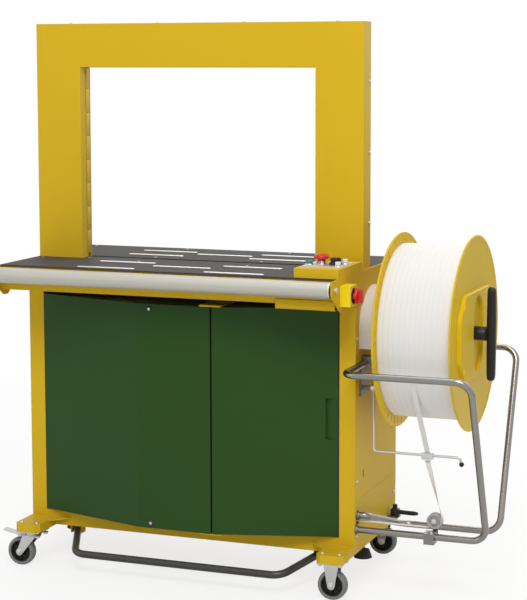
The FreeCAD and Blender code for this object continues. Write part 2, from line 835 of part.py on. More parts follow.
def glide_strips():
    """Ten low glide strips on the table, in staggered rows."""
    places = [(column, y) for column in ("strip_left", "strip_right")
              for y in ("-strip_front", "-strip_near", "strip_near", "strip_far")]
    places += [("strip_centre", "-strip_middle"), ("strip_centre", "strip_middle")]
    strips = []
    z = ("table_top", "table_top + strip_height")
    for number, (x, y) in enumerate(places):
        run = "strip_length / 2 - strip_width / 2"
        bar = block(f"strip_bar_{number}", (f"{x} - ({run})", f"{x} + {run}"),
                    (f"{y} - strip_width / 2", f"{y} + strip_width / 2"), z)
        ends = [rod(f"strip_end_{number}_{tag}", "z", (f"{x} {sign} ({run})", y), z, "strip_width / 2")
                for tag, sign in (("a", "-"), ("b", "+"))]
        strips.append(fuse(f"strip_{number}", bar, *ends))
    return node("glide_strips", group("glide_strips", *strips))


ARCH_HALF = "opening_width / 2 + leg_width"
OPENING_TOP = "table_top + opening_height"
ARCH_TOP = "table_top + opening_height + head_height"


def portal(name, span, outer, inner, top, inner_top, foot="arch_foot"):
    """Upside-down U plate across the strapping opening."""
    return prism(name, "XZ_Plane", span,
                 [(f"-({outer})", foot), (f"-({outer})", top), (outer, top), (outer, foot),
                  (inner, foot), (inner, inner_top), (f"-({inner})", inner_top), (f"-({inner})", foot)])


def arch_front():
    """Yellow front shell of the arch, open at the rear, with a gap for the strap track."""
    half = "opening_width / 2"
    whole = portal("arch_block", ("-arch_depth / 2", "arch_depth / 2 - sheet_wall"), ARCH_HALF, half,
                   ARCH_TOP, OPENING_TOP)
    hollow = portal("arch_hollow", ("sheet_wall - arch_depth / 2", "arch_depth"),
                    f"{ARCH_HALF} - sheet_wall",
                    f"{half} + sheet_wall", f"{ARCH_TOP} - sheet_wall", f"{OPENING_TOP} + sheet_wall", "arch_foot - 1")
    mouth = portal("arch_mouth", ("track_front - 0.5", "arch_depth"), f"{half} + sheet_wall + 1",
                   f"{half} - 1",
                   f"{OPENING_TOP} + sheet_wall + 1", f"{OPENING_TOP} - 1", "arch_foot - 2")
    return node("arch_front", cut("arch_front", whole, hollow, mouth))


def arch_rear():
    """Flat yellow cover on the rear of the arch."""
    cover = portal("arch_rear", ("arch_depth / 2 - sheet_wall", "arch_depth / 2"), ARCH_HALF,
                   "opening_width / 2",
                   ARCH_TOP, OPENING_TOP)
    return node("arch_rear", cover)


def strap_track():
    """Track round the opening that leads the strap, with its groove open to the inside."""
    half = "opening_width / 2"
    ring = portal("track_ring", ("track_front", "track_rear"), f"{half} + track_depth", f"{half} + gap",
                  f"{OPENING_TOP} + track_depth", f"{OPENING_TOP} + gap")
    groove = portal("track_groove", ("groove_front", "groove_front + groove_width"),
                    f"{half} + groove_depth", f"{half} - 1",
                    f"{OPENING_TOP} + groove_depth", f"{OPENING_TOP} - 1", "arch_foot - 1")
    return node("strap_track", cut("strap_track", ring, groove))


def control_box():
    """Yellow control box on the table's right front corner."""
    z = ("table_top", "table_top + box_height")
    shell = block("control_shell", ("box_left", "half_width"), ("-box_front", "-box_rear"), z)
    inside = block("control_inside", ("box_left + sheet_wall", "half_width - sheet_wall"),
                   ("sheet_wall - box_front",
                    "-box_rear - sheet_wall"), ("table_top - 1", "table_top + box_height - sheet_wall"))
    holes = [rod(f"control_hole_{tag}", "z", (x, y), (z[0], "table_top + box_height + 1"),
                 "stem_radius + gap")
             for tag, x, y in (("start", "start_x", "start_y"), ("stop", "stop_x", "stop_y"),
                               ("dial", "dial_x", "dial_y"), ("feed", "feed_x", "feed_y"),
                               ("retract", "retract_x", "retract_y"))]
    return node("control_box", cut("control_box", shell, inside, *holes))


PANEL_TOP = "table_top + box_height + plate_wall"


def control_panel():
    """Aluminium plate that the push buttons and the dial stand on."""
    circles = [((x, y), "stem_radius + gap") for x, y in (("start_x", "start_y"), ("stop_x", "stop_y"),
                                                          ("dial_x", "dial_y"), ("feed_x", "feed_y"),
                                                          ("retract_x", "retract_y"))]
    return node("control_panel", prism("control_panel", "XY_Plane", ("table_top + box_height", PANEL_TOP),
                                       rectangle(("panel_left", "-panel_front"),
                                                 ("panel_right", "-panel_rear")), *circles))


def control_knobs():
    """Green start button, red stop mushroom, black tension dial and white feed button."""
    low = "table_top + box_height - 8"
    for label, x, y, radius, cap_low, cap_high in (
            ("start_button", "start_x", "start_y", "start_radius", "4", "10"),
            ("stop_button", "stop_x", "stop_y", "stop_radius", "14", "25"),
            ("tension_dial", "dial_x", "dial_y", "dial_radius", "gap", "18"),
            ("feed_button", "feed_x", "feed_y", "feed_radius", "4", "11"),
            ("retract_button", "retract_x", "retract_y", "feed_radius", "4", "11")):
        stem = rod(f"{label}_stem", "z", (x, y), (low, f"{PANEL_TOP} + {cap_low}"), "stem_radius")
        cap = rod(f"{label}_cap", "z", (x, y), (f"{PANEL_TOP} + {cap_low}", f"{PANEL_TOP} + {cap_high}"),
                  radius)
        node(label, fuse(label, stem, cap))


def main_switch():
    """Yellow switch base on the right side plate, and its red turning knob."""
    base = block("switch_base", ("half_width", "half_width + switch_depth"),
                 ("switch_y - switch_half",
                  "switch_y + switch_half"), ("switch_z - switch_half", "switch_z + switch_half"))
    bore = rod("switch_bore", "x", ("switch_y", "switch_z"),
               ("half_width + 10", "half_width + switch_depth + 1"),
               "stem_radius + running")
    node("switch_base", cut("switch_base", base, bore))
    face = "half_width + switch_depth"
    stem = rod("switch_stem", "x", ("switch_y", "switch_z"), (f"{face} - 12", f"{face} + 2"), "stem_radius")
    disc = rod("switch_disc", "x", ("switch_y", "switch_z"), (f"{face} + gap", f"{face} + 9"),
               "knob_radius")
    bar = block("switch_bar", (f"{face} + 9", f"{face} + 23"), ("switch_y - 5", "switch_y + 5"),
                ("switch_z - knob_radius + 1", "switch_z + knob_radius - 1"))
    node("switch_knob", fuse("switch_knob", stem, disc, bar))


REEL_AXIS = ("reel_y", "reel_z")
COIL_LEFT = "flange_x + flange_wall"
COIL_RIGHT = "flange_x + flange_wall + coil_width"
HOUSING_MIDDLE = "reel_z + housing_rise"


def housing_shape(name, span, radius, bottom):
    """Block with a half-round top about the reel's axis plane."""
    y = (f"reel_y - ({radius})", f"reel_y + {radius}")
    drum = rod(f"{name}_drum", "x", ("reel_y", HOUSING_MIDDLE), span, radius)
    lower = block(f"{name}_lower", span, y, (bottom, HOUSING_MIDDLE))
    trim = block(f"{name}_trim", (f"{span[0]} - 1", f"{span[1]} + 1"), y,
                 (f"{bottom} - housing_radius", bottom))
    return cut(name, fuse(f"{name}_round", drum, lower), trim)


def reel_housing():
    """Round-topped brake housing on the body's right side, open to the panel, with the reel's spindle."""
    face = f"{BODY_HALF} + housing_depth"
    outside = housing_shape("housing_outside", (BODY_HALF, face), "housing_radius", "housing_bottom")
    inside = housing_shape("housing_inside", (f"{BODY_HALF} - 1", f"{face} - plate_wall"),
                           "housing_radius - sheet_wall",
                           "housing_bottom + sheet_wall")
    notch = block("housing_notch", (f"{BODY_HALF} - 1", "half_width"),
                  ("reel_y - housing_radius - 1", "reel_y + housing_radius + 1"),
                  ("side_bottom - gap", "reel_z + housing_radius * 2"))
    spindle = rod("spindle", "x", REEL_AXIS,
                  (f"{BODY_HALF}",
                   f"{COIL_RIGHT} + flange_wall + flange_boss + nut_length - nut_cap"), "spindle_radius")
    shell = cut("housing_shell", outside, inside, notch)
    return node("reel_housing", fuse("reel_housing", shell, spindle))


def flange(name, left):
    """Reel flange with six windows and a ring of small rim slots."""
    body = prism(name, "YZ_Plane", (left, f"{left} + flange_wall"),
                 (("0", "0"), "flange_radius"), (("0", "0"), "spindle_radius + running"), centre=REEL_AXIS)
    window = [("-16", "core_radius + 18"), ("16", "core_radius + 18"), ("24", "core_radius + 68"),
              ("-24", "core_radius + 68")]
    pocket_ring(body, name + "_window", "YZ_Plane", left, REEL_AXIS, window, 6)
    pocket_ring(body, name + "_rim", "YZ_Plane", left, REEL_AXIS, (("0", "flange_radius - 9"), "3"), 24)
    return body


def reel():
    """Strap reel: inner flange with the core drum, and outer flange with its boss."""
    inner_disc = flange("inner_disc", "flange_x")
    core_skin = rod("core_skin", "x", REEL_AXIS, (COIL_LEFT, f"{COIL_RIGHT} - gap"), "core_radius - gap")
    core_bore = rod("core_bore", "x", REEL_AXIS, (f"{COIL_LEFT} - 1", f"{COIL_RIGHT} + 1"),
                    "core_radius - plate_wall")
    core = cut("core_drum", core_skin, core_bore)
    boss_solid = rod("inner_boss", "x", REEL_AXIS,
                     (f"{BODY_HALF} + housing_depth + gap", f"{COIL_LEFT} + boss_inset"), "boss_radius")
    boss_bore = rod("inner_boss_bore", "x", REEL_AXIS, (BODY_HALF, COIL_RIGHT), "spindle_radius + running")
    boss = cut("inner_boss_ring", boss_solid, boss_bore)
    node("reel_inner", fuse("reel_inner", inner_disc, core, boss))
    outer_disc = flange("outer_disc", COIL_RIGHT)
    outer_solid = rod("outer_boss", "x", REEL_AXIS,
                      (f"{COIL_RIGHT} - boss_inset",
                       f"{COIL_RIGHT} + flange_wall + flange_boss"), "boss_radius")
    outer_bore = rod("outer_boss_bore", "x", REEL_AXIS, (BODY_HALF, f"{COIL_RIGHT} + 60"),
                     "spindle_radius + running")
    node("reel_outer", fuse("reel_outer", outer_disc, cut("outer_boss_ring", outer_solid, outer_bore)))
    coil = rod("coil_solid", "x", REEL_AXIS, (f"{COIL_LEFT} + gap", f"{COIL_RIGHT} - gap"), "coil_radius")
    coil_hole = rod("coil_hole", "x", REEL_AXIS, (COIL_LEFT, COIL_RIGHT), "core_radius")
    node("strap_coil", cut("strap_coil", coil, coil_hole))


def wing_nut():
    """Black T-handled nut that holds the outer flange on the spindle."""
    left = f"{COIL_RIGHT} + flange_wall + flange_boss + gap"
    hub = rod("nut_hub", "x", REEL_AXIS, (left, f"{left} + nut_length"), "nut_radius")
    bar = rod("nut_bar", "z", (f"{left} + nut_length + bar_radius * 0.9", "reel_y"),
              ("reel_z - bar_half", "reel_z + bar_half"), "bar_radius")
    bore = rod("nut_bore", "x", REEL_AXIS, (f"{left} - 1", f"{left} + nut_length - nut_cap"),
               "spindle_radius + running")
    return node("wing_nut", cut("wing_nut", fuse("nut_solid", hub, bar), bore))


def reel_guard():
    """Two bent chrome tubes that guard the reel at the front and at the rear."""
    side, reach, top = size("guard_side"), size("guard_reach"), size("guard_top")
    front_y, low_y, low_z = -size("guard_front"), -size("guard_low_front"), size("guard_low_front_z")
    wall = size("half_width") - size("plate_wall")
    bend = size("guard_bend")
    front = [Vector(side, -size("guard_end_front"), top), Vector(side, front_y, top),
             Vector(reach, front_y, top),
             Vector(reach + size("guard_lean"), low_y, low_z), Vector(wall, low_y, low_z)]
    rear_x, rear_y, rear_low = reach - size("guard_lean"), size("guard_rear"), size("guard_low_rear")
    rear_z, end_y, end_z = size("guard_low_rear_z"), -size("guard_return_y"), size("guard_return_z")
    back = [Vector(side, size("guard_end_rear"), top), Vector(side, rear_y, top),
            Vector(rear_x, rear_y, top),
            Vector(rear_x, rear_low, rear_z), Vector(size("guard_return_x"), rear_low, rear_z),
            Vector(wall + 26, end_y, end_z), Vector(wall, end_y, end_z)]
    tubes = [shaped("guard_front_tube", tube_along(front, bend, size("guard_radius"), size("guard_wall"))),
             shaped("guard_rear_tube", tube_along(back, [bend, bend, bend, bend, 14], size("guard_radius"),
                                                  size("guard_wall")))]
    return node("reel_guard", group("reel_guard", *tubes))


def side_brackets():
    """Tube clamps on the right side, the dancer arm's bracket and pin, and the strap pulley's bracket."""
    pieces = []
    for tag, y in (("front", "-42"), ("rear", "206")):
        clamp = block(f"clamp_{tag}", (BODY_HALF, "guard_side + clamp_half"), (y, f"{y} + 28"),
                      ("guard_top - clamp_half - 2", "guard_top + clamp_half + 2"))
        bore = rod(f"clamp_bore_{tag}", "y", ("guard_side", "guard_top"), (f"{y} - 1", f"{y} + 29"),
                   "guard_radius + gap / 3")
        pieces.append(cut(f"clamp_block_{tag}", clamp, bore))
    for tag, y, z in (("front", "-guard_low_front", "guard_low_front_z"),
                      ("rear", "-guard_return_y", "guard_return_z")):
        collar = rod(f"collar_{tag}", "x", (y, z), (BODY_HALF, f"{BODY_HALF} + 5"),
                     "guard_radius + plate_wall")
        bore = rod(f"collar_bore_{tag}", "x", (y, z), (f"{BODY_HALF} - 1", f"{BODY_HALF} + 6"),
                   "guard_radius + gap / 3")
        pieces.append(cut(f"collar_ring_{tag}", collar, bore))
    plate = block("arm_plate", (BODY_HALF, f"{BODY_HALF} + 4"), ("arm_y - 22", "arm_y + 22"),
                  ("arm_pivot_z - 20", "guard_top - clamp_half - 2"))
    pin = rod("arm_pin", "x", ("arm_y", "arm_pivot_z"), (f"{BODY_HALF} + 4", "arm_x + 9"), "stem_radius")
    pieces.append(fuse("arm_bracket", plate, pin))
    lug = block("lever_lug", (BODY_HALF, "lever_x + lever_radius"),
                ("lever_y - lever_radius", "lever_y + lever_radius"),
                ("lever_z - plate_wall", "lever_z"))
    lug_pin = rod("lever_pin", "z", LEVER, ("lever_z - plate_wall", "lever_z + lever_hub - 2 - gap"),
                  "lever_pin")
    pieces.append(fuse("lever_bracket", lug, lug_pin))
    clamp_solid = block("pulley_clamp", ("pulley_x - 22", "pulley_x + 4"),
                        ("-guard_low_front - 14", "14 - guard_low_front"),
                        ("guard_low_front_z - 17", "guard_low_front_z + 12"))
    riser = block("pulley_riser", ("pulley_x - 9", "pulley_x + 4"),
                  ("14 - guard_low_front + 9.3", "14 - guard_low_front + 12.3"),
                  ("guard_low_front_z + 2", "pulley_z + 8"))
    foot = block("pulley_riser_foot", ("pulley_x - 9", "pulley_x + 4"),
                 ("13 - guard_low_front", "14 - guard_low_front + 12.3"),
                 ("guard_low_front_z - 1", "guard_low_front_z + 3"))
    axle = rod("pulley_axle", "y", ("pulley_x", "pulley_z"),
               ("pulley_y - pulley_width / 2 - 2", "14 - guard_low_front + 12.3"), "axle_radius")
    bore = rod("pulley_clamp_bore", "x", ("-guard_low_front", "guard_low_front_z"),
               ("pulley_x - 30", "pulley_x + 12"),
               "guard_radius + gap / 3")
    pieces.append(cut("pulley_bracket", fuse("pulley_bracket_solid", clamp_solid, riser, foot, axle), bore))
    return node("side_brackets", group("side_brackets", *pieces))


def guide_arm():
    """Swinging wire arm with an eyelet that the strap runs through."""
    x, y, z = size("arm_x"), size("arm_y"), size("arm_pivot_z")
    low, radius = z - size("arm_drop"), size("arm_radius")
    rod_shape = tube_along([Vector(x, y, z - 8), Vector(x, y, low), Vector(size("arm_reach"), y, low),
                            Vector(size("arm_reach") + 4, y, low - 16)], 8, radius)
    ball = Part.makeSphere(radius * 1.7, Vector(size("arm_reach") + 4, y, low - 16))
    hub = Part.makeCylinder(10, 10, Vector(x - 5, y, z), Vector(1, 0, 0))
    hub = hub.cut(Part.makeCylinder(size("stem_radius") + size("running"), 14, Vector(x - 7, y, z),
                                    Vector(1, 0, 0)))
    eye_x, width = size("eyelet_x"), size("strap_width")
    loop_y = y - radius - 7
    outer = Part.makeBox(width + 16, 11, 15, Vector(eye_x - width / 2 - 8, loop_y - 2, low - 7.5))
    hole = Part.makeBox(width + 3, 6, 17, Vector(eye_x - width / 2 - 1.5, loop_y, low - 8.5))
    return node("guide_arm", shaped("guide_arm",
                                    rod_shape.fuse([ball, hub, outer.cut(hole)]).removeSplitter()))


def strap_pulley():
    """Small flanged pulley that turns the strap towards the body."""
    half = "pulley_width / 2"
    rim = [rod(f"pulley_rim_{tag}", "y", ("pulley_x", "pulley_z"), span, "pulley_radius + 2.5")
           for tag, span in (("a", (f"pulley_y - {half}", f"pulley_y - {half} + 1.5")),
                             ("b", (f"pulley_y + {half} - 1.5", f"pulley_y + {half}")))]
    drum = rod("pulley_drum", "y", ("pulley_x", "pulley_z"), (f"pulley_y - {half}", f"pulley_y + {half}"),
               "pulley_radius")
    bore = rod("pulley_bore", "y", ("pulley_x", "pulley_z"),
               (f"pulley_y - {half} - 1", f"pulley_y + {half} + 1"), "axle_radius + running")
    return node("strap_pulley", cut("strap_pulley", fuse("pulley_solid", drum, *rim), bore))


def strap_run():
    """Strap from the coil through the eyelet, twisted a quarter turn, round the pulley and into the body."""
    thick, width, clear = size("strap_thick"), size("strap_width"), size("gap")
    ry, rz = size("reel_y"), size("reel_z")
    eye = Vector(size("eyelet_x"), size("arm_y") - size("arm_radius") - 4,
                 size("arm_pivot_z") - size("arm_drop"))
    reach = size("coil_radius") + thick / 2 + clear
    dy, dz = eye.y - ry, eye.z - rz
    angle = math.atan2(dz, dy) - math.acos(reach / math.hypot(dy, dz))
    leave = Vector(eye.x - 8, ry + reach * math.cos(angle), rz + reach * math.sin(angle))
    px, py, pz = size("pulley_x"), size("pulley_y"), size("pulley_z")
    wrap = size("pulley_radius") + thick / 2 + clear

    def section(centre, along, across):
        along, across = Vector(along).normalize(), Vector(across)
        across = (across - along * across.dot(along)).normalize()
        normal = along.cross(across)
        corners = [centre + across * (a * width / 2) + normal * (b * thick / 2) for a,
                   b in ((-1, -1), (1, -1), (1, 1), (-1, 1))]
        return Part.makePolygon(corners + corners[:1])

    first = eye - leave
    sections = [section(leave, first, Vector(1, 0, 0)),
                section(eye + Vector(0, 0, 9), first, Vector(1, 0, 0)),
                section(eye - Vector(0, 0, 9), Vector(0, 0, -1), Vector(1, 0, 0))]
    start, end = eye - Vector(0, 0, 9), Vector(px + wrap, py, pz + 8)
    steps = 8
    for i in range(1, steps):
        share = i / steps
        turn = math.radians(90 * share)
        sections.append(section(start + (end - start) * share, end - start,
                                Vector(math.cos(turn), -math.sin(turn), 0)))
    sections.append(section(end, Vector(0, 0, -1), Vector(0, -1, 0)))
    for i in range(7):
        turn = math.radians(15 * i)
        centre = Vector(px + wrap * math.cos(turn), py, pz - wrap * math.sin(turn))
        sections.append(section(centre, Vector(-math.sin(turn), 0, -math.cos(turn)), Vector(0, -1, 0)))
    sections.append(section(Vector(396, py, pz - wrap), Vector(-1, 0, 0), Vector(0, -1, 0)))
    return node("strap_run", shaped("strap_run", Part.makeLoft(sections, True, True)))


def foot_bar():
    """Bent tube pedal along the front, hinged under the base."""
    px, py, pz = size("pivot_x"), size("pivot_y"), size("pivot_z")
    bend_x, front, level = size("bar_bend_x"), size("bar_front"), size("bar_level")
    bends = [Vector(-px, py, pz), Vector(-bend_x, -front, level), Vector(bend_x, -front, level),
             Vector(px, py, pz)]
    bar = tube_along(bends, size("bar_bend_radius"), size("bar_tube"))
    hubs = [Part.makeCylinder(size("pivot_hub") / 2, size("pivot_hub"),
                              Vector(side * px - size("pivot_hub") / 2, py, pz),
                              Vector(1, 0, 0)) for side in (-1, 1)]
    bores = [Part.makeCylinder(size("pivot_pin") + size("running"), 40, Vector(side * px - 20, py, pz),
                               Vector(1, 0, 0))
             for side in (-1, 1)]
    half, room = size("pivot_hub") / 2, size("pivot_ear") + size("pivot_room")
    ends = [Part.makeBox(60, 2 * room, 60, Vector(x, py - room, pz - 30))
            for x in (-px - half - 60, -px + half, px - half - 60, px + half)]
    shape = bar.cut(ends).fuse(hubs).cut(bores).removeSplitter()
    return node("foot_bar", shaped("foot_bar", max(shape.Solids, key=lambda solid: solid.Volume)))


def clamp_lever():
    """Black clamping lever that turns on an upright pin low on the right side panel."""
    hub = rod("lever_hub", "z", LEVER, ("lever_z + gap", "lever_z + lever_hub"), "lever_radius")
    button = rod("lever_button", "z", LEVER, ("lever_z + lever_hub", "lever_z + lever_hub + 9"),
                 "lever_radius / 2")
    arm = taper("lever_arm", "x", ("lever_y", "lever_z + lever_hub / 2"),
                ("lever_x + lever_radius / 2", "lever_x + lever_reach"),
                "lever_hub * 0.36", "lever_hub * 0.22")
    tip = doc.addObject("Part::Sphere", "lever_tip")
    bind(tip, "Radius", "lever_hub * 0.22")
    for letter, place in (("x", "lever_x + lever_reach"), ("y", "lever_y"),
                          ("z", "lever_z + lever_hub / 2")):
        bind(tip, f"Placement.Base.{letter}", place)
    bore = rod("lever_bore", "z", LEVER, ("lever_z - 1", "lever_z + lever_hub - 2"), "lever_pin + running")
    return node("clamp_lever", cut("clamp_lever", fuse("lever_solid", hub, button, arm, tip), bore))


def level_feet():
    """Rubber levelling feet screwed up under the two base feet."""
    feet = []
    for tag, x in (("right", "caster_x"), ("left", "-caster_x")):
        stem = rod(f"level_stem_{tag}", "z", (x, "88"), ("58", f"{FOOT_TOP} - plate_wall"), "stem_radius")
        pad = taper(f"level_pad_{tag}", "z", (x, "88"), ("40", "60"), "24", "17")
        feet.append(fuse(f"level_foot_{tag}", stem, pad))
    return node("level_feet", group("level_feet", *feet))


def fork(name, x, y, trail, crown_top):
    """Pressed fork with two tapered legs and the wheel's axle."""
    axle_x = f"{x} - {trail}"
    half = "wheel_width / 2 + 2"
    pieces = []
    for tag, span in (("a", (f"{y} - ({half}) - fork_wall", f"{y} - ({half})")),
                      ("b", (f"{y} + {half}", f"{y} + {half} + fork_wall"))):
        outline = [(f"{axle_x} - 9", "wheel_radius - 4"), (f"{axle_x} + 9", "wheel_radius - 4"),
                   (f"{x} + 20", crown_top), (f"{x} - 20", crown_top)]
        pieces.append(prism(f"{name}_leg_{tag}", "XZ_Plane", span, outline))
        pieces.append(rod(f"{name}_boss_{tag}", "y", (axle_x, "wheel_radius - 1"), span, "9"))
    pieces.append(block(f"{name}_crown", (f"{x} - 20", f"{x} + 20"),
                        (f"{y} - ({half}) - fork_wall", f"{y} + {half} + fork_wall"),
                        (f"{crown_top} - fork_wall", crown_top)))
    pieces.append(rod(f"{name}_axle", "y", (axle_x, "wheel_radius"),
                      (f"{y} - ({half}) - fork_wall - 3", f"{y} + {half} + fork_wall + 3"),
                      "axle_radius"))
    return pieces


def casters():
    """Two fixed casters on the right, two braked swivel casters on the left."""
    plate_z = ("floor_gap - plate_wall", "floor_gap")
    spots = {"front": "-caster_front", "rear": "caster_rear"}
    fixed, plates = [], []
    for place, y in spots.items():
        plate = block(f"fixed_plate_{place}",
                      ("caster_x - caster_plate / 2", "caster_x + caster_plate / 2"),
                      (f"{y} - caster_plate_depth / 2", f"{y} + caster_plate_depth / 2"), plate_z)
        fixed.append(fuse(f"fixed_caster_{place}", plate,
                          *fork(f"fixed_{place}", "caster_x", y, "0", "floor_gap - plate_wall")))
        swivel_x = "-caster_x"
        top = block(f"swivel_top_{place}", (f"{swivel_x} - caster_plate / 2",
                                            f"{swivel_x} + caster_plate / 2"),
                    (f"{y} - caster_plate_depth / 2", f"{y} + caster_plate_depth / 2"), plate_z)
        race = rod(f"swivel_race_{place}", "z", (swivel_x, y), ("floor_gap - 10", "floor_gap - plate_wall"),
                   "21")
        hole = rod(f"swivel_hole_{place}", "z", (swivel_x, y), ("floor_gap - 11", "floor_gap + 1"),
                   "stem_radius + running")
        plates.append(cut(f"swivel_plate_{place}", fuse(f"swivel_plate_solid_{place}", top, race), hole))
        crown = "floor_gap - 10 - gap"
        pin = rod(f"swivel_pin_{place}", "z", (swivel_x, y), ("floor_gap - 12", "floor_gap - 1"),
                  "stem_radius")
        ring = rod(f"swivel_ring_{place}", "z", (swivel_x, y), ("floor_gap - 14", crown), "22")
        pedal_pin = rod(f"pedal_pin_{place}", "y", (f"{swivel_x} - pedal_inset", "pedal_z"),
                        (f"{y} - wheel_width / 2 - 2 - fork_wall",
                         f"{y} + wheel_width / 2 + 2 + fork_wall"), "pedal_pin")
        node(f"swivel_fork_{place}", fuse(f"swivel_fork_{place}", pin, ring, pedal_pin,
                                          *fork(f"swivel_{place}", swivel_x, y, "caster_trail", crown)))
        pedal_x, pedal_z = f"{swivel_x} - pedal_inset", "pedal_z"
        hub = rod(f"pedal_hub_{place}", "y", (pedal_x, pedal_z), (f"{y} - pedal_half", f"{y} + pedal_half"),
                  "3.8")
        plate = prism(f"pedal_plate_{place}", "XZ_Plane", (f"{y} - pedal_half", f"{y} + pedal_half"),
                      [(pedal_x, f"{pedal_z} - 1.5"), (pedal_x, f"{pedal_z} + 1.5"),
                       (f"{pedal_x} - pedal_reach", f"{pedal_z} + pedal_rise + 1.5"),
                       (f"{pedal_x} - pedal_reach", f"{pedal_z} + pedal_rise - 1.5")])
        bore = rod(f"pedal_bore_{place}", "y", (pedal_x, pedal_z),
                   (f"{y} - pedal_half - 1", f"{y} + pedal_half + 1"),
                   "pedal_pin + running")
        node(f"brake_pedal_{place}", cut(f"brake_pedal_{place}", fuse(f"pedal_solid_{place}", hub, plate),
                                         bore))
    node("caster_brackets", group("caster_brackets", *fixed, *plates))
    for side, x in (("right", "caster_x"), ("left", "-caster_x - caster_trail")):
        for place, y in spots.items():
            span = (f"{y} - wheel_width / 2", f"{y} + wheel_width / 2")
            tag = f"{side}_{place}"
            tyre = cut(f"tyre_{tag}", rod(f"tyre_solid_{tag}", "y", (x, "wheel_radius"), span,
                                          "wheel_radius"),
                       rod(f"tyre_hole_{tag}", "y", (x, "wheel_radius"),
                           (f"{span[0]} - 1", f"{span[1]} + 1"), "wheel_radius - tread_depth"))
            hub = cut(f"hub_{tag}", rod(f"hub_solid_{tag}", "y", (x, "wheel_radius"), span,
                                        "wheel_radius - tread_depth"),
                      rod(f"hub_bore_{tag}", "y", (x, "wheel_radius"), (f"{span[0]} - 1", f"{span[1]} + 1"),
                          "axle_radius + running"))
            node(f"wheel_{tag}", group(f"wheel_{tag}", tyre, hub))


SCREW_FRONT = "-guard_low_front + 1"
SCREW_REAR = "body_rear - 22"
SCREW_LOW = "guard_low_front_z - guard_radius - plate_wall - screw_radius - 2"


def panel_screws():
    """Screws and studs on the side panels, covers, cheeks and arch."""
    heads = []
    places = [("x", y, z, x) for x in ("right", "left") for y,
              z in ((SCREW_FRONT, "281"), (SCREW_FRONT, SCREW_LOW),
                                                              (SCREW_REAR, "180"), (SCREW_FRONT, "640"),
                                                              (SCREW_REAR, "640"), (SCREW_REAR, "420"))]
    places += [("x", "-roller_axis", "table_top - roller_drop", x) for x in ("right_cheek", "left_cheek")]
    places += [("x", "15", z, x) for x in ("right_arch", "left_arch") 
               for z in ("table_top + arch_screw_low", "table_top + arch_screw_middle",
                         "table_top + arch_screw_high")]
    faces = {"right": (BODY_HALF, f"{BODY_HALF} + 2.5"),
             "left": (f"-({BODY_HALF}) - 2.5", f"-({BODY_HALF})"),
             "right_cheek": ("half_width",
                             "half_width + 5"), "left_cheek": ("-half_width - 5", "-half_width"),
             "right_arch": (ARCH_HALF,
                            f"{ARCH_HALF} + 3"), "left_arch": (f"-({ARCH_HALF}) - 3", f"-({ARCH_HALF})")}
    for number, (axis, y, z, face) in enumerate(places):
        radius = "cheek_screw" if "cheek" in face else "screw_radius"
        heads.append(rod(f"screw_{number}", axis, (y, z), faces[face], radius))
    for number, x in enumerate(("-370", "-120", "120", "370")):
        heads.append(rod(f"arch_stud_{number}", "z", (x, "10"), (ARCH_TOP, f"{ARCH_TOP} + 3"),
                         "screw_radius"))
    for number, z in enumerate(("152", "702")):
        heads.append(rod(f"cover_lock_{number}", "y", ("-66", z),
                         ("-body_front - bow_depth - 2", "-body_front - bow_depth"), "6"))
    return node("panel_screws", group("panel_screws", *heads))


def head_frame():
    """Cast frame of the sealing head, with bearings, slide guide, heater shelf and mounting ears."""
    top = "table_top - plate_wall - 3"
    walls = [
        block("head_wall_front", ("-head_half", "head_half"), ("head_front", "head_front + head_wall"),
              ("head_bottom", top)),
        block("head_wall_rear", ("-head_half", "head_half"), ("head_rear - head_wall", "head_rear"),
              ("head_bottom", "slide_top - 2")),
    ]
    for number, x in enumerate(mirrored(("head_half - head_wall", "head_half"))):
        walls.append(block(f"head_end_{number}", x, ("head_front", "head_rear"),
                           ("head_bottom", "slide_top - 20")))
    for number, x in enumerate(mirrored(("head_half", "head_half + table_rail + 1"))):
        walls.append(block(f"head_ear_{number}", x, ("-60", "table_rail + 50"),
                           ("table_top - plate_wall - table_rail", "table_top - plate_wall - 2")))
    walls.append(block("slide_guide", ("head_wall - head_half", "head_half - head_wall"),
                       ("head_front + head_wall",
                        "head_rear - head_wall"), ("slide_top - guide_low", "slide_top - guide_high")))
    walls.append(block("heater_shelf", ("-34", "34"), ("head_rear", "150"),
                       ("slide_top - shelf_drop", "slide_top - shelf_drop + shelf_wall")))
    metal = fuse("head_metal", *walls)
    bore = rod("head_bore", "x", ("head_front / 2 + head_rear / 2", "cam_z"),
               ("-head_half - 1", "head_half + 1"),
               "cam_shaft_radius + running")
    slots = [block(f"slide_slot_{number}", (f"{x} - slide_half - gap", f"{x} + slide_half + gap"),
                   ("head_front + head_wall + 6 - gap",
                    "head_rear - head_wall - 6 + gap"), ("slide_top - guide_low - 1",
                                                         "slide_top - guide_high + 1"))
             for number, x in enumerate(("-slide_pitch", "0", "slide_pitch"))]
    return node("head_frame", cut("head_frame", metal, bore, *slots))


HEAD_Y = "head_front / 2 + head_rear / 2"


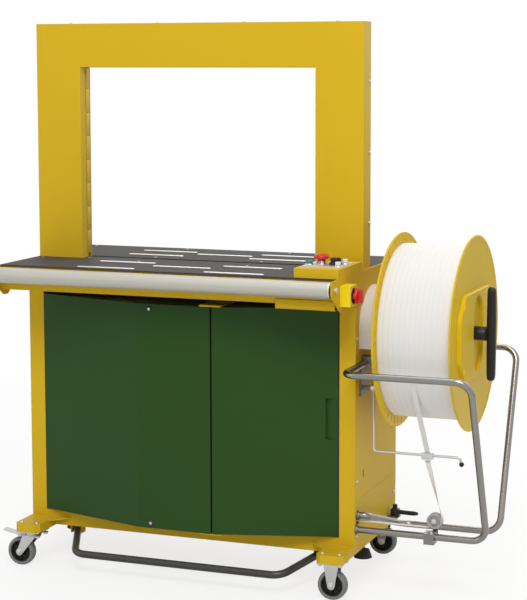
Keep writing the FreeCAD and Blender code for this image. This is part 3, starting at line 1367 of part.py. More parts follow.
def head_moving_parts():
    """Camshaft with its pulley, two grippers, the press and the heater blade."""
    shaft = rod("cam_rod", "x", (HEAD_Y, "cam_z"), ("-head_half - 14", "pulley_face + 18"),
                "cam_shaft_radius")
    cams = [rod(f"cam_{number}", "x", (f"{HEAD_Y} + ({across})", f"cam_z + ({up})"),
                (f"{x} - 9", f"{x} + 9"),
                "cam_radius - cam_throw")
            for number, (x, across, up) in enumerate((("-slide_pitch", "cam_throw", "0"),
                                                      ("0", "0", "-cam_throw"),
                                                      ("slide_pitch", "-cam_throw", "0")))]
    pulley = rod("cam_pulley_disc", "x", (HEAD_Y, "cam_z"), ("pulley_face", "pulley_face + 14"),
                 "cam_pulley")
    node("cam_shaft", fuse("cam_shaft", shaft, pulley, *cams))
    for label, x in (("left_gripper", "-slide_pitch"), ("press_block", "0"),
                     ("right_gripper", "slide_pitch")):
        body = block(label, (f"{x} - slide_half", f"{x} + slide_half"),
                     ("head_front + head_wall + 6",
                      "head_rear - head_wall - 6"), ("cam_z + cam_radius + gap", "slide_top"))
        node(label, body)
    blade = block("blade_plate", ("-17", "17"), ("60", "122"),
                  ("table_top - blade_drop - blade_wall", "table_top - blade_drop"))
    carrier = block("blade_carrier", ("-24", "24"), ("112", "134"),
                    ("slide_top - shelf_drop + shelf_wall + gap", "table_top - blade_drop"))
    node("heater_blade", fuse("heater_blade", blade, carrier))


def drive():
    """Motor with gearbox on the shelf, its pulley and the toothed belt to the camshaft."""
    axis = ("motor_y", "motor_z")
    body = rod("motor_body", "x", axis, ("pulley_face + 60", "pulley_face + 220"), "motor_radius")
    gearbox = block("gearbox", ("pulley_face + 22", "pulley_face + 60"), ("motor_y - 42", "motor_y + 42"),
                    ("motor_z - 48", "motor_z + 48"))
    feet = [block(f"motor_foot_{number}", (x, f"{x} + 24"), ("motor_y - 40", "motor_y + 40"),
                  ("shelf_level + plate_wall", "motor_z - 34"))
            for number, x in enumerate(("pulley_face + 34", "pulley_face + 168"))]
    stub = rod("motor_stub", "x", axis, ("pulley_face - 4", "pulley_face + 24"), "stem_radius")
    node("drive_motor", fuse("drive_motor", body, gearbox, stub, *feet))
    disc = rod("motor_disc", "x", axis, ("pulley_face", "pulley_face + 14"), "motor_pulley_radius")
    bore = rod("motor_disc_bore", "x", axis, ("pulley_face - 1", "pulley_face + 15"),
               "stem_radius + running")
    node("motor_pulley", cut("motor_pulley", disc, bore))
    centres = [Vector(0, size("head_front") / 2 + size("head_rear") / 2, size("cam_z")),
               Vector(0, size("motor_y"), size("motor_z"))]

    def loop(extra):
        shapes = []
        for centre, radius in zip(centres, (size("cam_pulley") + extra,
                                            size("motor_pulley_radius") + extra)):
            shapes.append(Part.makeCylinder(radius, 12, Vector(size("pulley_face") + 1, centre.y, centre.z),
                                            Vector(1, 0, 0)))
        line = centres[1] - centres[0]
        length = line.Length
        along = line.normalize()
        side = Vector(0, -along.z, along.y)
        big, small = size("cam_pulley") + extra, size("motor_pulley_radius") + extra
        lean = math.asin((big - small) / length)
        corners = []
        for sign in (1, -1):
            normal = side * (sign * math.cos(lean)) + along * math.sin(lean)
            corners.append((centres[0] + normal * big, centres[1] + normal * small))
        ring = [corners[0][0], corners[0][1], corners[1][1], corners[1][0]]
        ring = [Vector(size("pulley_face") + 1, corner.y, corner.z) for corner in ring]
        web = Part.Face(Part.makePolygon(ring + ring[:1])).extrude(Vector(12, 0, 0))
        return shapes[0].fuse([shapes[1], web])

    clear = size("gap") / 3
    node("drive_belt", shaped("drive_belt", loop(size("belt_wall")).cut(loop(clear)).removeSplitter()))


FEED_AXIS = ("feed_roll_x", "feed_roll_z")
FEED_BACK = "feed_plate_wall - feed_plate_front"
PINCH_Z = "feed_roll_z - feed_roll - pinch_roll - strap_thick - gap"


def feed_unit():
    """Feed plate with its motor, and the driven and pinch rollers that grip the strap."""
    plate = block("feed_plate", ("feed_plate_left", "feed_plate_right"), ("-feed_plate_front", FEED_BACK),
                  ("table_top - feed_plate_drop", "table_top - plate_wall - table_rail"))
    motor = rod("feed_motor", "y", FEED_AXIS, (FEED_BACK, "60"), "feed_motor")
    shaft = rod("feed_stub", "y", FEED_AXIS, ("-feed_plate_front - 24", FEED_BACK), "stem_radius")
    pinch_pin = rod("pinch_stub", "y", ("feed_roll_x", PINCH_Z), ("-feed_plate_front - 24", FEED_BACK),
                    "stem_radius")
    node("feed_unit", fuse("feed_unit", plate, motor, shaft, pinch_pin))
    for label, z, radius in (("feed_roller", "feed_roll_z", "feed_roll"),
                             ("pinch_roller", PINCH_Z, "pinch_roll")):
        wheel = rod(f"{label}_solid", "y", ("feed_roll_x", z),
                    ("-feed_plate_front - 3 - feed_roll_width", "-feed_plate_front - 3"), radius)
        bore = rod(f"{label}_bore", "y", ("feed_roll_x", z),
                   ("-feed_plate_front - 4 - feed_roll_width",
                    "-feed_plate_front - 2"), "stem_radius + running")
        node(label, cut(label, wheel, bore))


def strap_pool():
    """Flat box behind the door where spare strap gathers."""
    shell = block("pool_shell", ("pool_left", f"{POST_IN} - pool_inset"), ("-pool_front", "-pool_rear"),
                  (BEAM_TOP, "pool_top"))
    hollow = block("pool_hollow", ("pool_left + sheet_wall", f"{POST_IN} - pool_inset - sheet_wall"),
                   ("sheet_wall - pool_front",
                    "-pool_rear - sheet_wall"), (f"{BEAM_TOP} + sheet_wall", "pool_top + 1"))
    mouth = block("pool_mouth", (f"{POST_IN} - 50", POST_IN),
                  ("pulley_y - pool_mouth", "pulley_y + pool_mouth"),
                  ("pulley_z - pulley_radius - pool_mouth", "pulley_z - pulley_radius + pool_mouth"))
    return node("strap_pool", cut("strap_pool", shell, hollow, mouth))


def control_unit():
    """Electrical cabinet on the left of the shelf: shell, lid and transformer."""
    x = ("-unit_left", "-unit_right")
    y = ("unit_front", "unit_rear")
    z = ("shelf_level + plate_wall", "shelf_level + plate_wall + unit_height")
    outside = block("unit_outside", x, y, z)
    inside = block("unit_inside", (f"{x[0]} + sheet_wall", f"{x[1]} - sheet_wall"),
                   (f"{y[0]} - 1", f"{y[1]} - sheet_wall"),
                   (f"{z[0]} + sheet_wall", f"{z[1]} - sheet_wall"))
    lid = block("unit_lid", x, ("unit_front - sheet_wall", "unit_front"), z)
    transformer = block("unit_transformer", (f"{x[0]} + 40", f"{x[0]} + 120"),
                        (f"{y[1]} - 80", f"{y[1]} - sheet_wall"),
                        (f"{z[0]} + sheet_wall", f"{z[0]} + 82"))
    return node("control_unit", group("control_unit", cut("unit_shell", outside, inside), lid, transformer))


for build in (base_frame, body_frame, side_panels, rear_panel, left_cover, right_door, table_frame,
              roller_shaft,
              front_roller, table_plates, glide_strips, arch_front, arch_rear, strap_track, control_box, control_panel,
              control_knobs, main_switch, reel_housing, reel, wing_nut, reel_guard, side_brackets, guide_arm,
              strap_pulley, strap_run, foot_bar, clamp_lever, level_feet, casters, panel_screws, head_frame,
              head_moving_parts, drive, feed_unit, strap_pool, control_unit):
    build()

doc.recompute()
failed = [thing.Name for thing in doc.Objects if "Invalid" in thing.State or "Error" in thing.State]
if failed:
    raise RuntimeError(f"objects that did not build: {failed}")
for label, thing in PARTS.items():
    if thing.Shape.isNull() or not thing.Shape.isValid() or not thing.Shape.Solids:
        raise RuntimeError(f"{label} has no valid solid")
for label, thing in PARTS.items():
    thing.Shape.exportStep(f"parts/{label}.step")
print(len(PARTS), "sub-parts written")
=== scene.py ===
"""Looks of an arch strapping machine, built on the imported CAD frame.

The frame's axes: X to the operator's right, Y to the rear, Z up. The origin is on the
floor below the middle of the strapping opening. The studio and the finished meshes are
in metres. The pieces' sizes are given in millimetres.
"""

import logging
import math
import random
from dataclasses import dataclass
from enum import Enum
from typing import Callable, Optional, Sequence

import bmesh
import bpy
from mathutils import Matrix, Vector

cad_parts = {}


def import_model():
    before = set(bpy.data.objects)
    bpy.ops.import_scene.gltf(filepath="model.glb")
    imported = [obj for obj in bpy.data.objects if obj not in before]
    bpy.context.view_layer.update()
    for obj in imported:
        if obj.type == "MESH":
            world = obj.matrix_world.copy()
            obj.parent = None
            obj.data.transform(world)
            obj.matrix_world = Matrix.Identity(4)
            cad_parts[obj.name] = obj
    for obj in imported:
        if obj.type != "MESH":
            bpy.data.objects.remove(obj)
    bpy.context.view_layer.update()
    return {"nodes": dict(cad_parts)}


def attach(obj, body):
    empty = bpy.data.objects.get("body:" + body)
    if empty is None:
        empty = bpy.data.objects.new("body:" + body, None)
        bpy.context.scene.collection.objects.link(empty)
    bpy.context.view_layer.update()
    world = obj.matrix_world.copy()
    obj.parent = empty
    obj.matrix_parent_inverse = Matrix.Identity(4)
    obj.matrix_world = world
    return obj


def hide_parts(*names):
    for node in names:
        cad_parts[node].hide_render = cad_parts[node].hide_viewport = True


LOG = logging.getLogger("strapping_machine")
MM = 0.001
SHARP_ANGLE = math.radians(34)
EDGE_RADIUS = 1.2 * MM
BEVEL_SAMPLES = 4
TINY = 1e-6

# Sockets of the colour mix node by number, since several share a name
MIX_FACTOR, MIX_A, MIX_B, MIX_RESULT = 0, 6, 7, 2

Pair = tuple[float, float]
Colour = tuple[float, float, float]
Point = tuple[float, float, float]
ORIGIN: Point = (0.0, 0.0, 0.0)


class Axis(Enum):
    """Direction that a turned piece or a screw points along."""

    X = (1.0, 0.0, 0.0)
    NEG_X = (-1.0, 0.0, 0.0)
    Y = (0.0, 1.0, 0.0)
    NEG_Y = (0.0, -1.0, 0.0)
    Z = (0.0, 0.0, 1.0)
    NEG_Z = (0.0, 0.0, -1.0)

    def turn(self) -> Matrix:
        """Rotation that takes +Z to this direction."""
        return Vector((0.0, 0.0, 1.0)).rotation_difference(Vector(self.value)).to_matrix().to_4x4()


ENDS_X = ((1.0, Axis.X), (-1.0, Axis.NEG_X))
ENDS_Y = ((-1.0, Axis.NEG_Y), (1.0, Axis.Y))
Spot = tuple[Point, Axis]


class Brush(Enum):
    """Direction of the fine lines on a brushed metal, as stretch factors on X, Y and Z."""

    ALONG_X = (0.02, 1.0, 1.0)
    ALONG_Z = (1.0, 1.0, 0.02)
    ROUND = (1.0, 1.0, 1.0)


def polar(radius: float, angle: float) -> Pair:
    """Point at a distance from the origin, at an angle in radians."""
    return radius * math.cos(angle), radius * math.sin(angle)


def bulged(value: float, power: float) -> float:
    """A cosine or sine raised to a power with its sign kept, which squares off a circle."""
    return math.copysign(abs(value) ** power, value)


def mirrored(low: Sequence[Pair], *middle: Pair) -> list[Pair]:
    """Profile from its lower half, with the same points at opposite heights after the middle."""
    return [*low, *middle, *((radius, -height) for radius, height in reversed(low))]


def linked(name: str, data: object) -> bpy.types.Object:
    """New object with this data, linked to the scene."""
    made = bpy.data.objects.new(name, data)
    bpy.context.scene.collection.objects.link(made)
    return made


# Shader node groups


class Wiring:
    """Short way to place nodes in a tree and feed their inputs."""

    def __init__(self, tree: bpy.types.NodeTree) -> None:
        """Keep the tree that the nodes go into."""
        self.tree = tree

    def feed(self, socket: bpy.types.NodeSocket, value: object) -> None:
        """Link an input to another node's output, or give it a plain value."""
        if isinstance(value, bpy.types.NodeSocket):
            self.tree.links.new(value, socket)
        else:
            socket.default_value = value

    def node(self, kind: str, inputs: Optional[dict] = None, **settings: object) -> bpy.types.Node:
        """Add a node.

        Args:
            kind: Node type. ShaderNode is put before a short one.
            inputs: Value or output socket for inputs, by name or number.
            settings: Attributes to set on the node, such as an operation.

        Returns:
            The new node.
        """
        made = self.tree.nodes.new(kind if "Node" in kind else f"ShaderNode{kind}")
        for name, value in settings.items():
            setattr(made, name, value)
        for key, value in (inputs or {}).items():
            self.feed(made.inputs[key], value)
        return made

    def noise(self, vector: object, scale: object, detail: float,
              roughness: float) -> bpy.types.NodeSocket:
        """Noise value over a vector.

        Args:
            vector: Where to read the noise.
            scale: A number, or a socket that holds one.
            detail: Number of octaves.
            roughness: Weight of the finer octaves.

        Returns:
            The noise's value socket.
        """
        values = {"Vector": vector, "Scale": scale, "Detail": detail, "Roughness": roughness}
        return self.node("TexNoise", values).outputs["Fac"]

    def math(self, operation: str, first: object, second: object,
             clamp: bool = False) -> bpy.types.NodeSocket:
        """Arithmetic on two numbers or sockets, kept between 0 and 1 if clamp is set."""
        values = {0: first, 1: second}
        return self.node("Math", values, operation=operation, use_clamp=clamp).outputs[0]

    def ramp(self, value: object, low: float, high: float, low_out: float = 0.0,
             high_out: float = 1.0) -> bpy.types.NodeSocket:
        """Clamped linear map of a value.

        Args:
            value: Socket to map.
            low: Input that gives low_out.
            high: Input that gives high_out.
            low_out: Lowest result.
            high_out: Highest result.

        Returns:
            The mapped socket.
        """
        values = {"Value": value, "From Min": low, "From Max": high, "To Min": low_out,
                  "To Max": high_out}
        return self.node("MapRange", values, clamp=True).outputs["Result"]

    def mix(self, factor: object, first: object, second: object,
            blend: str = "MIX") -> bpy.types.NodeSocket:
        """Colour between two colours or sockets, by the second one's share."""
        values = {MIX_FACTOR: factor, MIX_A: first, MIX_B: second}
        made = self.node("Mix", data_type="RGBA", blend_type=blend)
        for number, value in values.items():
            self.feed(made.inputs[number], value)
        return made.outputs[MIX_RESULT]


class Group(Wiring):
    """Shader group under construction."""

    def __init__(self, name: str, inputs: dict[str, tuple[str, object]], **outputs: str) -> None:
        """Start the group.

        Args:
            name: Name of the group.
            inputs: Socket type and default of each input, by name. None keeps the type's own.
            outputs: Socket type of each output, by name.
        """
        super().__init__(bpy.data.node_groups.new(name, "ShaderNodeTree"))
        sockets = self.tree.interface
        for label, (kind, default) in inputs.items():
            made = sockets.new_socket(label, in_out="INPUT", socket_type=f"NodeSocket{kind}")
            if default is not None:
                made.default_value = default
        for label, kind in outputs.items():
            sockets.new_socket(label, in_out="OUTPUT", socket_type=f"NodeSocket{kind}")
        self.given = self.node("NodeGroupInput").outputs

    def close(self, **results: bpy.types.NodeSocket) -> bpy.types.NodeTree:
        """Feed the group's outputs and hand over its tree."""
        self.node("NodeGroupOutput", results)
        return self.tree


def edge_wear_group() -> bpy.types.NodeTree:
    """Colour that turns to a worn colour along sharp edges, in broken patches."""
    patch_scale = 40.0
    group = Group("edge_wear", {
        "Color": ("Color", (0.5, 0.5, 0.5, 1.0)), "Worn": ("Color", (0.4, 0.4, 0.4, 1.0)),
        "Vector": ("Vector", None), "Amount": ("Float", 0.5)}, Color="Color")
    given = group.given
    soft = group.node("Bevel", {"Radius": EDGE_RADIUS}, samples=BEVEL_SAMPLES)
    flat = group.node("NewGeometry").outputs["Normal"]
    facing = group.node("VectorMath", {0: soft.outputs[0], 1: flat}, operation="DOT_PRODUCT")
    sharp = group.ramp(group.math("SUBTRACT", 1.0, facing.outputs["Value"]), 0.03, 0.22)
    patches = group.ramp(group.noise(given["Vector"], patch_scale, 5.0, 0.65), 0.42, 0.62)
    mask = group.math("MULTIPLY", group.math("MULTIPLY", sharp, patches), given["Amount"],
                      clamp=True)
    return group.close(Color=group.mix(mask, given["Color"], given["Worn"]))


def tone_group() -> bpy.types.NodeTree:
    """Slow variation of a colour and a roughness, such as handling marks on a sheet."""
    fine_share, fine_factor = 0.4, 17.0
    group = Group("surface_tone", {
        "Color": ("Color", (0.5, 0.5, 0.5, 1.0)), "Vector": ("Vector", None),
        "Scale": ("Float", 4.0), "Colour Change": ("Float", 0.1), "Roughness": ("Float", 0.4),
        "Roughness Change": ("Float", 0.1)}, Color="Color", Roughness="Float")
    given = group.given
    slow = group.noise(given["Vector"], given["Scale"], 4.0, 0.55)
    fine = group.noise(given["Vector"], group.math("MULTIPLY", given["Scale"], fine_factor),
                       3.0, 0.6)
    shade = group.math("MULTIPLY", group.math("SUBTRACT", slow, 0.5), given["Colour Change"])
    darker = group.mix(1.0, given["Color"], group.math("ADD", 1.0, shade), "MULTIPLY")
    blend = group.math("ADD", group.math("MULTIPLY", slow, 1.0 - fine_share),
                       group.math("MULTIPLY", fine, fine_share))
    swing = group.math("MULTIPLY", group.math("SUBTRACT", blend, 0.5), given["Roughness Change"])
    rough = group.math("ADD", given["Roughness"], swing, clamp=True)
    return group.close(Color=darker, Roughness=rough)


def skin_group() -> bpy.types.NodeTree:
    """Height of a sprayed, cast or moulded skin: a fine grain over a soft ripple."""
    ripple_scale = 160.0
    group = Group("moulded_skin", {
        "Vector": ("Vector", None), "Grain Scale": ("Float", 900.0), "Ripple": ("Float", 0.5)},
        Height="Float")
    given = group.given
    grain = group.noise(given["Vector"], given["Grain Scale"], 2.0, 0.5)
    ripple = group.noise(given["Vector"], ripple_scale, 1.0, 0.5)
    return group.close(
        Height=group.math("ADD", grain, group.math("MULTIPLY", ripple, given["Ripple"])))


def brushed_group() -> bpy.types.NodeTree:
    """Height of fine parallel lines, as on ground, drawn or brushed metal."""
    group = Group("brushed_lines", {
        "Vector": ("Vector", None), "Stretch": ("Vector", Brush.ALONG_X.value),
        "Scale": ("Float", 1500.0)}, Height="Float")
    given = group.given
    stretched = group.node("VectorMath", {0: given["Vector"], 1: given["Stretch"]},
                           operation="MULTIPLY")
    return group.close(Height=group.noise(stretched.outputs[0], given["Scale"], 3.0, 0.6))


def dust_group() -> bpy.types.NodeTree:
    """Colour with a thin film of dust on surfaces that face up, and the film's mask."""
    dust, cloud_scale = (0.5, 0.48, 0.44, 1.0), 22.0
    group = Group("settled_dust", {
        "Color": ("Color", (0.5, 0.5, 0.5, 1.0)), "Vector": ("Vector", None),
        "Amount": ("Float", 0.1)}, Color="Color", Mask="Float")
    given = group.given
    normal = group.node("NewGeometry").outputs["Normal"]
    upward = group.ramp(group.node("SeparateXYZ", {0: normal}).outputs["Z"], 0.3, 1.0)
    cloud = group.ramp(group.noise(given["Vector"], cloud_scale, 6.0, 0.7), 0.35, 0.75)
    mask = group.math("MULTIPLY", group.math("MULTIPLY", upward, cloud), given["Amount"],
                      clamp=True)
    return group.close(Color=group.mix(mask, given["Color"], dust), Mask=mask)


def rounded_edge_group() -> bpy.types.NodeTree:
    """Normal that rounds off sharp edges, as folded or sprayed edges are."""
    group = Group("rounded_edge", {}, Normal="Vector")
    soft = group.node("Bevel", {"Radius": EDGE_RADIUS}, samples=BEVEL_SAMPLES)
    return group.close(Normal=soft.outputs[0])


class Groups:
    """The shader groups, each built once."""

    _made: dict[str, bpy.types.NodeTree] = {}
    _makers: dict[str, Callable[[], bpy.types.NodeTree]] = {
        "edge_wear": edge_wear_group,
        "surface_tone": tone_group,
        "moulded_skin": skin_group,
        "brushed_lines": brushed_group,
        "settled_dust": dust_group,
        "rounded_edge": rounded_edge_group,
    }

    @classmethod
    def get(cls, name: str) -> bpy.types.NodeTree:
        """Group with this name, built at its first use."""
        if name not in cls._made:
            cls._made[name] = cls._makers[name]()
        return cls._made[name]


# Finishes

STEEL_WORN = (0.32, 0.30, 0.27, 1.0)


@dataclass(frozen=True)
class Finish:
    """A surface finish and the numbers that its material is made from.

    The slot names a material slot for the pieces made here; nothing in this script reads it.
    It is empty where only CAD nodes have the finish.
    """

    name: str
    slot: str
    colour: Colour
    roughness: float = 0.4
    metallic: float = 0.0
    specular: float = 0.5
    wear: float = 0.0
    dust: float = 0.0
    tone: float = 0.12
    tone_scale: float = 4.0
    roughness_change: float = 0.12
    grain_scale: float = 900.0
    ripple: float = 0.5
    grain_depth: float = 0.02
    brush: Optional[Brush] = None
    brush_scale: float = 1500.0

    def material(self) -> bpy.types.Material:
        """Material of this finish, made at its first use."""
        found = bpy.data.materials.get(self.name)
        if found:
            return found
        made = bpy.data.materials.new(self.name)
        made.use_nodes = True
        made.diffuse_color = (*self.colour, 1.0)
        self._wire(made.node_tree)
        return made

    def _wire(self, tree: bpy.types.NodeTree) -> None:
        """Lay out the material's nodes."""
        wire = Wiring(tree)
        place = wire.node("TexCoord").outputs["Object"]
        tone = self._group(wire, "surface_tone", {
            "Vector": place, "Color": (*self.colour, 1.0), "Scale": self.tone_scale,
            "Colour Change": self.tone, "Roughness": self.roughness,
            "Roughness Change": self.roughness_change})
        colour, rough = tone["Color"], tone["Roughness"]
        if self.wear:
            wear = {"Vector": place, "Color": colour, "Worn": STEEL_WORN, "Amount": self.wear}
            colour = self._group(wire, "edge_wear", wear)["Color"]
        if self.dust:
            film = {"Vector": place, "Color": colour, "Amount": self.dust}
            dust = self._group(wire, "settled_dust", film)
            colour = dust["Color"]
            rough = wire.math("ADD", rough, wire.math("MULTIPLY", dust["Mask"], 0.6), clamp=True)
        if self.brush:
            lines = {"Vector": place, "Stretch": self.brush.value, "Scale": self.brush_scale}
            height = self._group(wire, "brushed_lines", lines)["Height"]
            change = wire.math("SUBTRACT", wire.math("MULTIPLY", height, 0.24), 0.12)
            rough = wire.math("ADD", rough, change, clamp=True)
        else:
            skin = {"Vector": place, "Grain Scale": self.grain_scale, "Ripple": self.ripple}
            height = self._group(wire, "moulded_skin", skin)["Height"]
        bump = wire.node("Bump", {
            "Strength": 0.35, "Distance": self.grain_depth * MM, "Height": height,
            "Normal": self._group(wire, "rounded_edge", {})["Normal"]})
        shader = tree.nodes["Principled BSDF"].inputs
        for name, value in {
            "Metallic": self.metallic, "Specular IOR Level": self.specular, "Base Color": colour,
            "Roughness": rough, "Normal": bump.outputs["Normal"],
        }.items():
            wire.feed(shader[name], value)

    @staticmethod
    def _group(wire: Wiring, name: str, inputs: dict) -> bpy.types.NodeOutputs:
        """Place a shared group in the material, feed it and give its outputs."""
        made = wire.node("Group", node_tree=Groups.get(name))
        for label, value in inputs.items():
            wire.feed(made.inputs[label], value)
        return made.outputs


YELLOW_PAINT = Finish(
    "yellow_powder_coat", "yellow_paint", (0.66, 0.43, 0.016), roughness=0.44, specular=0.10,
    wear=0.35, dust=0.03, tone=0.10, tone_scale=2.4, grain_depth=0.03, ripple=1.2)
GREEN_PAINT = Finish(
    "green_powder_coat", "green_paint", (0.021, 0.066, 0.010), roughness=0.34, specular=0.16,
    wear=0.25, dust=0.01, tone=0.16, tone_scale=2.2, grain_depth=0.03, ripple=1.2)
TABLE_PAINT = Finish(
    "dark_grey_satin_coat", "", (0.062, 0.059, 0.057), roughness=0.55, specular=0.05, wear=0.3,
    dust=0.02, tone=0.14, tone_scale=5.0, grain_depth=0.012, ripple=0.8)
GREY_PAINT = Finish(
    "grey_satin_coat", "grey_paint", (0.20, 0.195, 0.19), roughness=0.42, wear=0.25, dust=0.08,
    grain_depth=0.03)
HOUSING_PAINT = Finish(
    "pale_grey_satin_coat", "grey_paint", (0.66, 0.63, 0.61), roughness=0.42, specular=0.2,
    wear=0.2, dust=0.06, grain_depth=0.03)
REEL_YELLOW = Finish(
    "lemon_moulded_plastic", "reel_yellow", (0.74, 0.50, 0.010), roughness=0.36, specular=0.12,
    tone=0.08, dust=0.02, grain_scale=500.0)
STRAP_WHITE = Finish(
    "white_strap_plastic", "strap_plastic", (0.76, 0.74, 0.72), roughness=0.46, specular=0.2,
    tone=0.06, tone_scale=9.0, dust=0.02, grain_scale=700.0, grain_depth=0.03)
CHROME = Finish(
    "bright_chrome", "guard_chrome", (0.60, 0.59, 0.58), roughness=0.14, metallic=1.0, tone=0.06,
    roughness_change=0.06, dust=0.05, grain_scale=300.0, grain_depth=0.004)
TUBE_CHROME = Finish(
    "dull_tube_chrome", "guard_chrome", (0.27, 0.26, 0.245), roughness=0.22, metallic=1.0,
    tone=0.10, roughness_change=0.10, dust=0.05, grain_scale=300.0, grain_depth=0.006)
STEEL = Finish(
    "bright_steel", "bright_steel", (0.50, 0.49, 0.47), roughness=0.30, metallic=1.0, dust=0.04,
    brush=Brush.ROUND, brush_scale=900.0, grain_depth=0.01)
STRIP_STEEL = Finish(
    "polished_strip_steel", "strip_steel", (0.84, 0.83, 0.81), roughness=0.38, metallic=0.75,
    brush=Brush.ALONG_X, grain_depth=0.008, tone=0.08)
ROLLER_METAL = Finish(
    "brushed_roller_aluminium", "roller_aluminium", (0.50, 0.48, 0.42), roughness=0.50,
    metallic=0.40, specular=0.2, brush=Brush.ALONG_X, grain_depth=0.015, tone=0.10, dust=0.03)
PANEL_METAL = Finish(
    "satin_panel_aluminium", "", (0.70, 0.69, 0.67), metallic=0.9, brush=Brush.ALONG_X,
    grain_depth=0.01)
TRACK_METAL = Finish(
    "gold_track_aluminium", "track_metal", (0.60, 0.40, 0.03), roughness=0.46, metallic=0.1,
    specular=0.2, brush=Brush.ALONG_Z, dust=0.04)
CASTING = Finish(
    "painted_casting", "cast_grey", (0.16, 0.17, 0.18), roughness=0.55, wear=0.3, dust=0.10,
    grain_scale=420.0, grain_depth=0.12)
DARK_STEEL = Finish(
    "semi_gloss_black_bar", "dark_steel", (0.045, 0.046, 0.042), roughness=0.30, specular=0.4,
    wear=0.4, dust=0.05)
BLACK_PLASTIC = Finish(
    "black_moulded_plastic", "black_plastic", (0.012, 0.012, 0.012), roughness=0.42,
    specular=0.3, dust=0.01, grain_scale=1400.0, grain_depth=0.03)
RED_PLASTIC = Finish(
    "red_moulded_plastic", "red_plastic", (0.58, 0.013, 0.010), roughness=0.30, specular=0.4,
    grain_depth=0.006)
GREEN_PLASTIC = Finish(
    "green_moulded_plastic", "green_plastic", (0.010, 0.24, 0.10), roughness=0.30, specular=0.4,
    grain_depth=0.006)
WHITE_PLASTIC = Finish(
    "white_moulded_plastic", "white_plastic", (0.78, 0.78, 0.79), roughness=0.32, specular=0.4,
    grain_depth=0.006)
SWITCH_YELLOW = Finish(
    "signal_yellow_plastic", "", (0.86, 0.66, 0.008), roughness=0.34, specular=0.3,
    grain_depth=0.006)
GREY_RUBBER = Finish(
    "grey_tyre_rubber", "grey_tyre", (0.19, 0.192, 0.186), roughness=0.62, dust=0.08,
    grain_scale=600.0, grain_depth=0.06, tone=0.2)
WHEEL_PLASTIC = Finish(
    "grey_wheel_plastic", "white_plastic", (0.40, 0.39, 0.36), roughness=0.36, specular=0.3,
    grain_depth=0.006)
BRACKET_STEEL = Finish(
    "dark_zinc_steel", "", (0.22, 0.22, 0.21), roughness=0.34, metallic=0.9, tone=0.16,
    dust=0.04, grain_scale=500.0, grain_depth=0.012)
BLACK_RUBBER = Finish(
    "black_rubber", "black_rubber", (0.018, 0.018, 0.018), roughness=0.70, dust=0.10,
    grain_scale=800.0, grain_depth=0.05)

FINISH_NODES: tuple[tuple[Finish, str], ...] = (
    (YELLOW_PAINT, "base_frame body_frame side_panels rear_panel table_frame arch_front "
                   "arch_rear control_box"),
    (GREEN_PAINT, "left_cover right_door"),
    (STEEL, "roller_shaft guide_arm brake_pedal_front brake_pedal_rear panel_screws cam_shaft "
            "left_gripper press_block right_gripper heater_blade pinch_roller"),
    (ROLLER_METAL, "front_roller motor_pulley"),
    (TABLE_PAINT, "table_plates"),
    (STRIP_STEEL, "glide_strips"),
    (TRACK_METAL, "strap_track"),
    (PANEL_METAL, "control_panel"),
    (GREEN_PLASTIC, "start_button"),
    (RED_PLASTIC, "stop_button switch_knob"),
    (BLACK_PLASTIC, "tension_dial wing_nut clamp_lever"),
    (WHITE_PLASTIC, "feed_button retract_button"),
    (SWITCH_YELLOW, "switch_base"),
    (HOUSING_PAINT, "reel_housing"),
    (REEL_YELLOW, "reel_inner reel_outer"),
    (STRAP_WHITE, "strap_coil strap_run"),
    (TUBE_CHROME, "reel_guard"),
    (BRACKET_STEEL, "side_brackets"),
    (WHEEL_PLASTIC, "strap_pulley"),
    (DARK_STEEL, "foot_bar"),
    (BLACK_RUBBER, "level_feet drive_belt feed_roller"),
    (CHROME, "caster_brackets swivel_fork_front swivel_fork_rear"),
    (GREY_RUBBER, "wheel_left_front wheel_left_rear wheel_right_front wheel_right_rear"),
    (CASTING, "head_frame drive_motor feed_unit"),
    (GREY_PAINT, "strap_pool control_unit"),
)
NODE_FINISH = {node: finish for finish, nodes in FINISH_NODES for node in nodes.split()}

# Mesh making


def settle(piece: bpy.types.Object, body: str, node: str) -> None:
    """Let a finished piece ride on its body.

    Args:
        piece: The piece.
        body: CAD body that carries it.
        node: CAD node that it stands for, or an empty text.
    """
    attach(piece, body)
    if node:
        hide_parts(node)
    LOG.info("%s on %s, %d faces", piece.name, body, len(piece.data.polygons))


